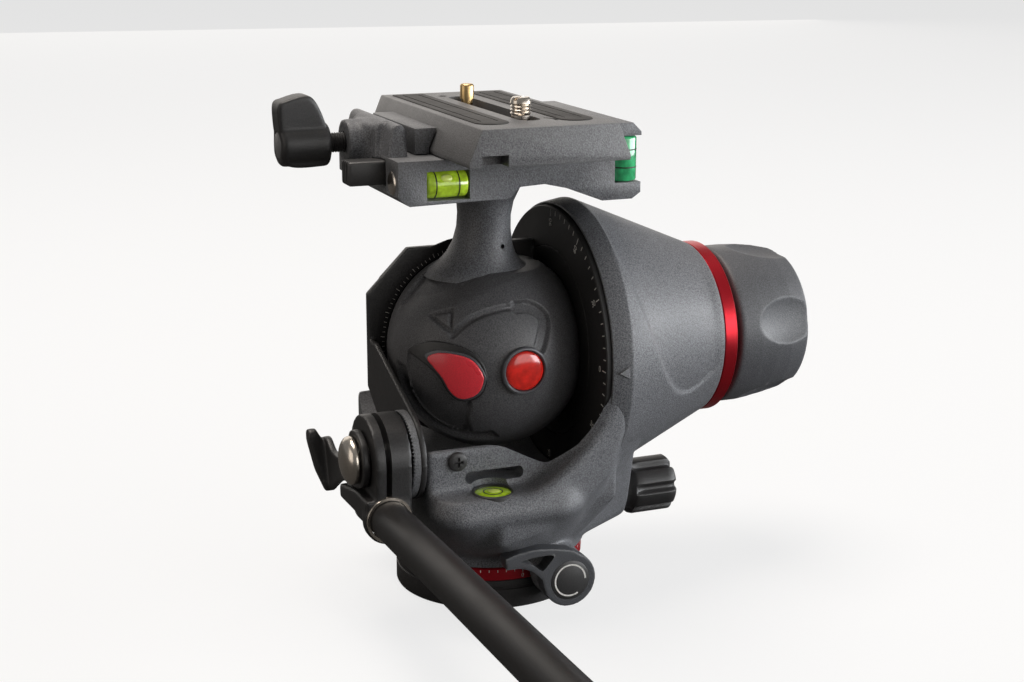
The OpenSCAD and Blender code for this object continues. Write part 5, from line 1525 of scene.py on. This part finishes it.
@dataclass
class PanControls:
    """Pan lock lever and pan drag knob.

    Attributes:
        front: Front face of the lever.
        hub_r: Radius of its hub.
        drag_x: Near end of the drag knob.
        drag_r: Its radius.
        drag_l: Its length.
        flutes: Flutes round it.
    """

    front: float = -42.9
    hub_r: float = 8.7
    drag_x: float = 47.4
    drag_r: float = 9.4
    drag_l: float = 18.6
    flutes: int = 7

    def build(self) -> None:
        """Builds and dresses both controls."""
        self.lever()
        self.drag()
        painted(ACETAL, "pan_lock_pad", "pan_drag_shoe")
        painted(TURNED_STEEL, "pan_drag_screw")

    def lever(self) -> None:
        """Lock lever with its window, black disc and white ring."""
        x, _, z = LOCK_AXIS
        top = [(-21.6, 9.9), (-17.0, 11.2), (-11.0, 11.6), (-4.5, 10.9), (1.0, 9.6)]
        hub = arc((0.0, 0.0), self.hub_r, 65.0, -165.0, 36)
        low = [(-9.4, 1.4), (-12.6, 4.4), (-16.6, 6.0), (-21.2, 6.2)]
        outline = curve_through(top, 4, closed=False) + hub + curve_through(low, 4, closed=False)
        arm = drawn([(a + x, b + z) for a, b in outline], Axis.Y, self.front, self.front + 5.0)
        window = [(-16.4, 8.4), (-12.0, 9.2), (-5.6, 8.9), (-7.4, 6.0), (-9.4, 4.4), (-12.4, 6.6)]
        hole = drawn([(a + x, b + z) for a, b in curve_through(window, 4)], Axis.Y, self.front - 4.0,
                     self.front + 12.0)
        hub_rod = rod(Axis.Y, self.hub_r - 0.1, self.front, self.front + 6.0, LOCK_AXIS)
        cast = melted(fused(arm, hub_rod), 0.4, 3)
        seat = rod(Axis.Y, 6.45, -60.0, self.front + 0.8, LOCK_AXIS)
        stem = rod(Axis.Y, 3.05, self.front + 2.0, 0.0, LOCK_AXIS)
        placed("pan_lock_lever_arm", carved(cast, hole, seat, stem), "pan_lock_lever", LEVER_GREY,
               ["pan_lock_lever"])
        disc = turned([(self.front + 0.8, 0.0), (self.front + 0.8, 6.35), (self.front - 0.05, 6.35),
                       (self.front - 0.2, 6.1), (self.front - 0.2, 0.0)], Axis.Y, LOCK_AXIS, 64)
        placed("pan_lock_disc", disc, "pan_lock_lever", BLACK_PLASTIC, ["pan_lock_insert"])
        ring = arc((x, z), 5.3, 0.0, 300.0, 60) + arc((x, z), 4.8, 300.0, 0.0, 60)
        placed("pan_lock_ring", drawn(ring, Axis.Y, self.front - 0.24, self.front - 0.1), "pan_lock_lever",
               PRINT_WHITE)

    def drag(self) -> None:
        """Fluted drag knob."""
        n, e, r = self.drag_x, self.drag_x + self.drag_l, self.drag_r
        profile = [(n, 0.0), (n, r - 2.0), (n + 2.0, r - 1.4), (n + 3.0, r - 0.3), (n + 4.0, r)]
        profile += [(n + 4.0 + (self.drag_l - 5.6) * i / 6, r) for i in range(1, 7)]
        profile += [(e - 0.9, r - 0.5), (e - 0.2, r - 1.4), (e, r - 2.4), (e, 0.0)]
        knob = turned(profile, Axis.X, DRAG_AXIS, self.flutes * 28)

        def flute(spots: np.ndarray) -> np.ndarray:
            """Presses the flutes into the knob's side."""
            y, z = spots[:, 1], spots[:, 2] - DRAG_AXIS[2]
            radius = np.hypot(y, z)
            wave = np.cos((np.arctan2(z, y) - 0.3) * self.flutes)
            depth = 1.7 * smooth_step(wave, 0.1, 1.0) * smooth_step(spots[:, 0], n + 2.8, n + 4.5)
            depth = depth * (radius > r - 3.0)
            share = 1.0 - depth / np.maximum(radius, 1.0)
            spots[:, 1] = y * share
            spots[:, 2] = z * share + DRAG_AXIS[2]
            return spots
        bore = rod(Axis.X, 3.05, 40.0, e - 4.0, DRAG_AXIS, 48)
        placed("pan_drag_knob_fluted", carved(reshaped(knob, flute), bore), "pan_drag_knob", BLACK_PLASTIC,
               ["pan_drag_knob"])


@dataclass
class PanBar:
    """Split arm, its clamp lever, and the pan bar with its grip.

    Attributes:
        hub: Centre of the arm's hub in Y and Z.
        out: Outer face of the arm.
        inner: Inner face of the arm.
        hub_r: Radius of the hub.
        drop: Bar's axis below the hub.
        rise: Rise of the bar toward its grip, in degrees.
        bar_r: Radius of the bar.
        back: Back end of the bar behind the hub.
        length: Length of the bar.
        hub_out: Outer face of the hub, where the lever lies on it.
        grip_l: Length of the grip.
        grip_r: Radius of the grip.
    """

    hub: Pair = STUD
    out: float = -52.4
    inner: float = -38.0
    hub_r: float = 13.5
    drop: float = 16.0
    rise: float = 1.7
    bar_r: float = 6.0
    back: float = 5.0
    length: float = 260.0
    hub_out: float = -49.1
    grip_l: float = 92.0
    grip_r: float = 10.5

    def build(self) -> None:
        """Builds and dresses the arm, its lever, the bar and the grip."""
        self.arm()
        self.lever()
        self.bar()

    @property
    def axis_x(self) -> float:
        """Middle of the arm, where the bar lies."""
        return (self.out + self.inner) / 2

    def frame(self) -> Matrix:
        """Matrix from the arm's own frame to the head's."""
        return Matrix.Translation((0.0, *self.hub)) @ Matrix.Rotation(math.radians(-self.rise), 4, "X")

    def arm(self) -> None:
        """Split clamp that holds the bar."""
        x, low = self.axis_x, -self.drop - self.bar_r - 2.0
        head = rod(Axis.X, self.hub_r, self.out, self.inner, steps=96)
        foot = block((self.out, -11.0, low), (self.inner, 16.0, low + 16.0))
        whole = hull_of(head, foot)
        chamfer = moved(block((-20.0, -40.0, -12.0), (20.0, 40.0, 0.0)),
                        Matrix.Translation((self.out + 1.0, 0.0, low + 8.5))
                        @ Matrix.Rotation(math.radians(43.0), 4, "Y") @ Matrix.Translation((0.0, 0.0, -1.0)))
        mouth = rod(Axis.Y, self.bar_r + 1.7, -12.6, -9.0, (x, 0.0, -self.drop))
        step = drawn([(-60.0, 60.0), (-60.0, -9.6), (0.0, -9.6), (17.0, -12.2), (17.0, 60.0)], Axis.X, -80.0,
                     self.hub_out)
        cast = melted(fused(carved(whole, chamfer, step), mouth), 0.5, 4)
        stud_room = rod(Axis.X, 4.15, -70.0, 0.0)
        bar_room = rod(Axis.Y, self.bar_r + 0.15, -60.0, self.back + 0.6, (x, 0.0, -self.drop))
        split = block((x - 0.9, -60.0, -self.drop), (x + 0.9, 60.0, 40.0))
        shape = moved(carved(cast, stud_room, bar_room, split), self.frame())
        placed("arm_clamp_casting", shape, "bar_arm", BLACK_CASTING, ["bar_arm"])
        ring = turned([(-13.0, self.bar_r + 0.2), (-13.0, self.bar_r + 1.0), (-12.5, self.bar_r + 1.25),
                       (-12.0, self.bar_r + 1.25), (-12.0, self.bar_r + 0.2)], Axis.Y, (x, 0.0, -self.drop),
                      64)
        placed("arm_mouth_ring", moved(ring, self.frame()), "bar_arm", NICKEL)

    def lever(self) -> None:
        """Hooked clamp lever behind the dome nut."""
        y, z = self.hub
        side = curve_through([(9.0, 0.0), (6.0, 7.0), (0.0, 9.0), (-6.5, 6.2), (-9.0, 0.0), (-6.4, -6.4),
                              (0.0, -9.0), (8.0, -10.0), (14.0, -11.2), (20.0, -13.6), (26.0, -17.2),
                              (31.0, -20.0), (34.6, -18.0), (36.4, -10.0), (35.4, -3.6), (32.0, -3.0),
                              (26.0, -5.4), (17.0, -4.6)], 5)
        blade = drawn([(a + y, b + z) for a, b in side], Axis.X, -51.8, -49.5)
        stops = ((2.4, -56.8, -54.2, 35.4, -2.6), (2.8, -55.0, -49.8, 33.6, -11.0),
                 (2.6, -52.6, -49.6, 31.4, -17.6))
        rods = [[rod(Axis.X, r, low, high, (0.0, y + a, z + b), 32) for r, low, high, a, b in pair]
                for pair in zip(stops, stops[1:])]
        hook = fused(*(hull_of(*pair) for pair in rods))
        cast = melted(fused(blade, hook), 0.4, 4)
        placed("arm_lever_hook", carved(cast, rod(Axis.X, 4.15, -70.0, -40.0, (0.0, y, z))), "arm_lever",
               BLACK_PLASTIC, ["arm_lever"])

    def bar(self) -> None:
        """Anodised bar with its ribbed rubber grip."""
        x, r, end = self.axis_x, self.bar_r, self.back - self.length
        tube = turned([(end, r - 1.5), (end, r - 0.3), (end + 0.3, r), (self.back - 0.6, r),
                       (self.back, r - 0.6), (self.back, 0.0), (self.back - 40.0, 0.0),
                       (self.back - 40.0, r - 1.5)][::-1], Axis.Y, (x, 0.0, -self.drop), 96)
        placed("pan_bar_tube", moved(tube, self.frame()), "pan_bar", BAR_BLACK, ["pan_bar"])
        g, near = self.grip_r, end + self.grip_l
        profile = [(end - 5.0, 0.0), (end - 5.0, g - 3.4), (end - 4.0, g - 1.4), (end - 2.0, g - 0.3),
                   (end, g)]
        count = 14
        for i in range(count):
            y = end + 6.0 + i * (self.grip_l - 24.0) / count
            profile += [(y, g), (y + 0.8, g - 0.9), (y + 1.9, g - 0.9), (y + 2.7, g)]
        profile += [(near - 12.0, g), (near - 8.0, g - 1.0), (near - 3.0, g - 2.2), (near - 0.6, g - 2.6),
                    (near, g - 3.2), (near, r + 0.05), (end, r + 0.05), (end, 0.0)]
        placed("bar_grip_ribbed", moved(turned(profile, Axis.Y, (x, 0.0, -self.drop), 96), self.frame()),
               "pan_bar", RUBBER, ["bar_grip"])


def main() -> None:
    """Builds the studio and every sub-assembly in order."""
    logging.basicConfig(level=logging.INFO, format="%(message)s")
    for part in (Studio(), Base(), Housing(), Carrier(), Ball(), Neck(), Clamp(), Plate(), MainKnob(),
                 PanControls(), PanBar()):
        LOG.info("building %s", type(part).__name__)
        part.build()


if __name__ == "__main__":
    main()
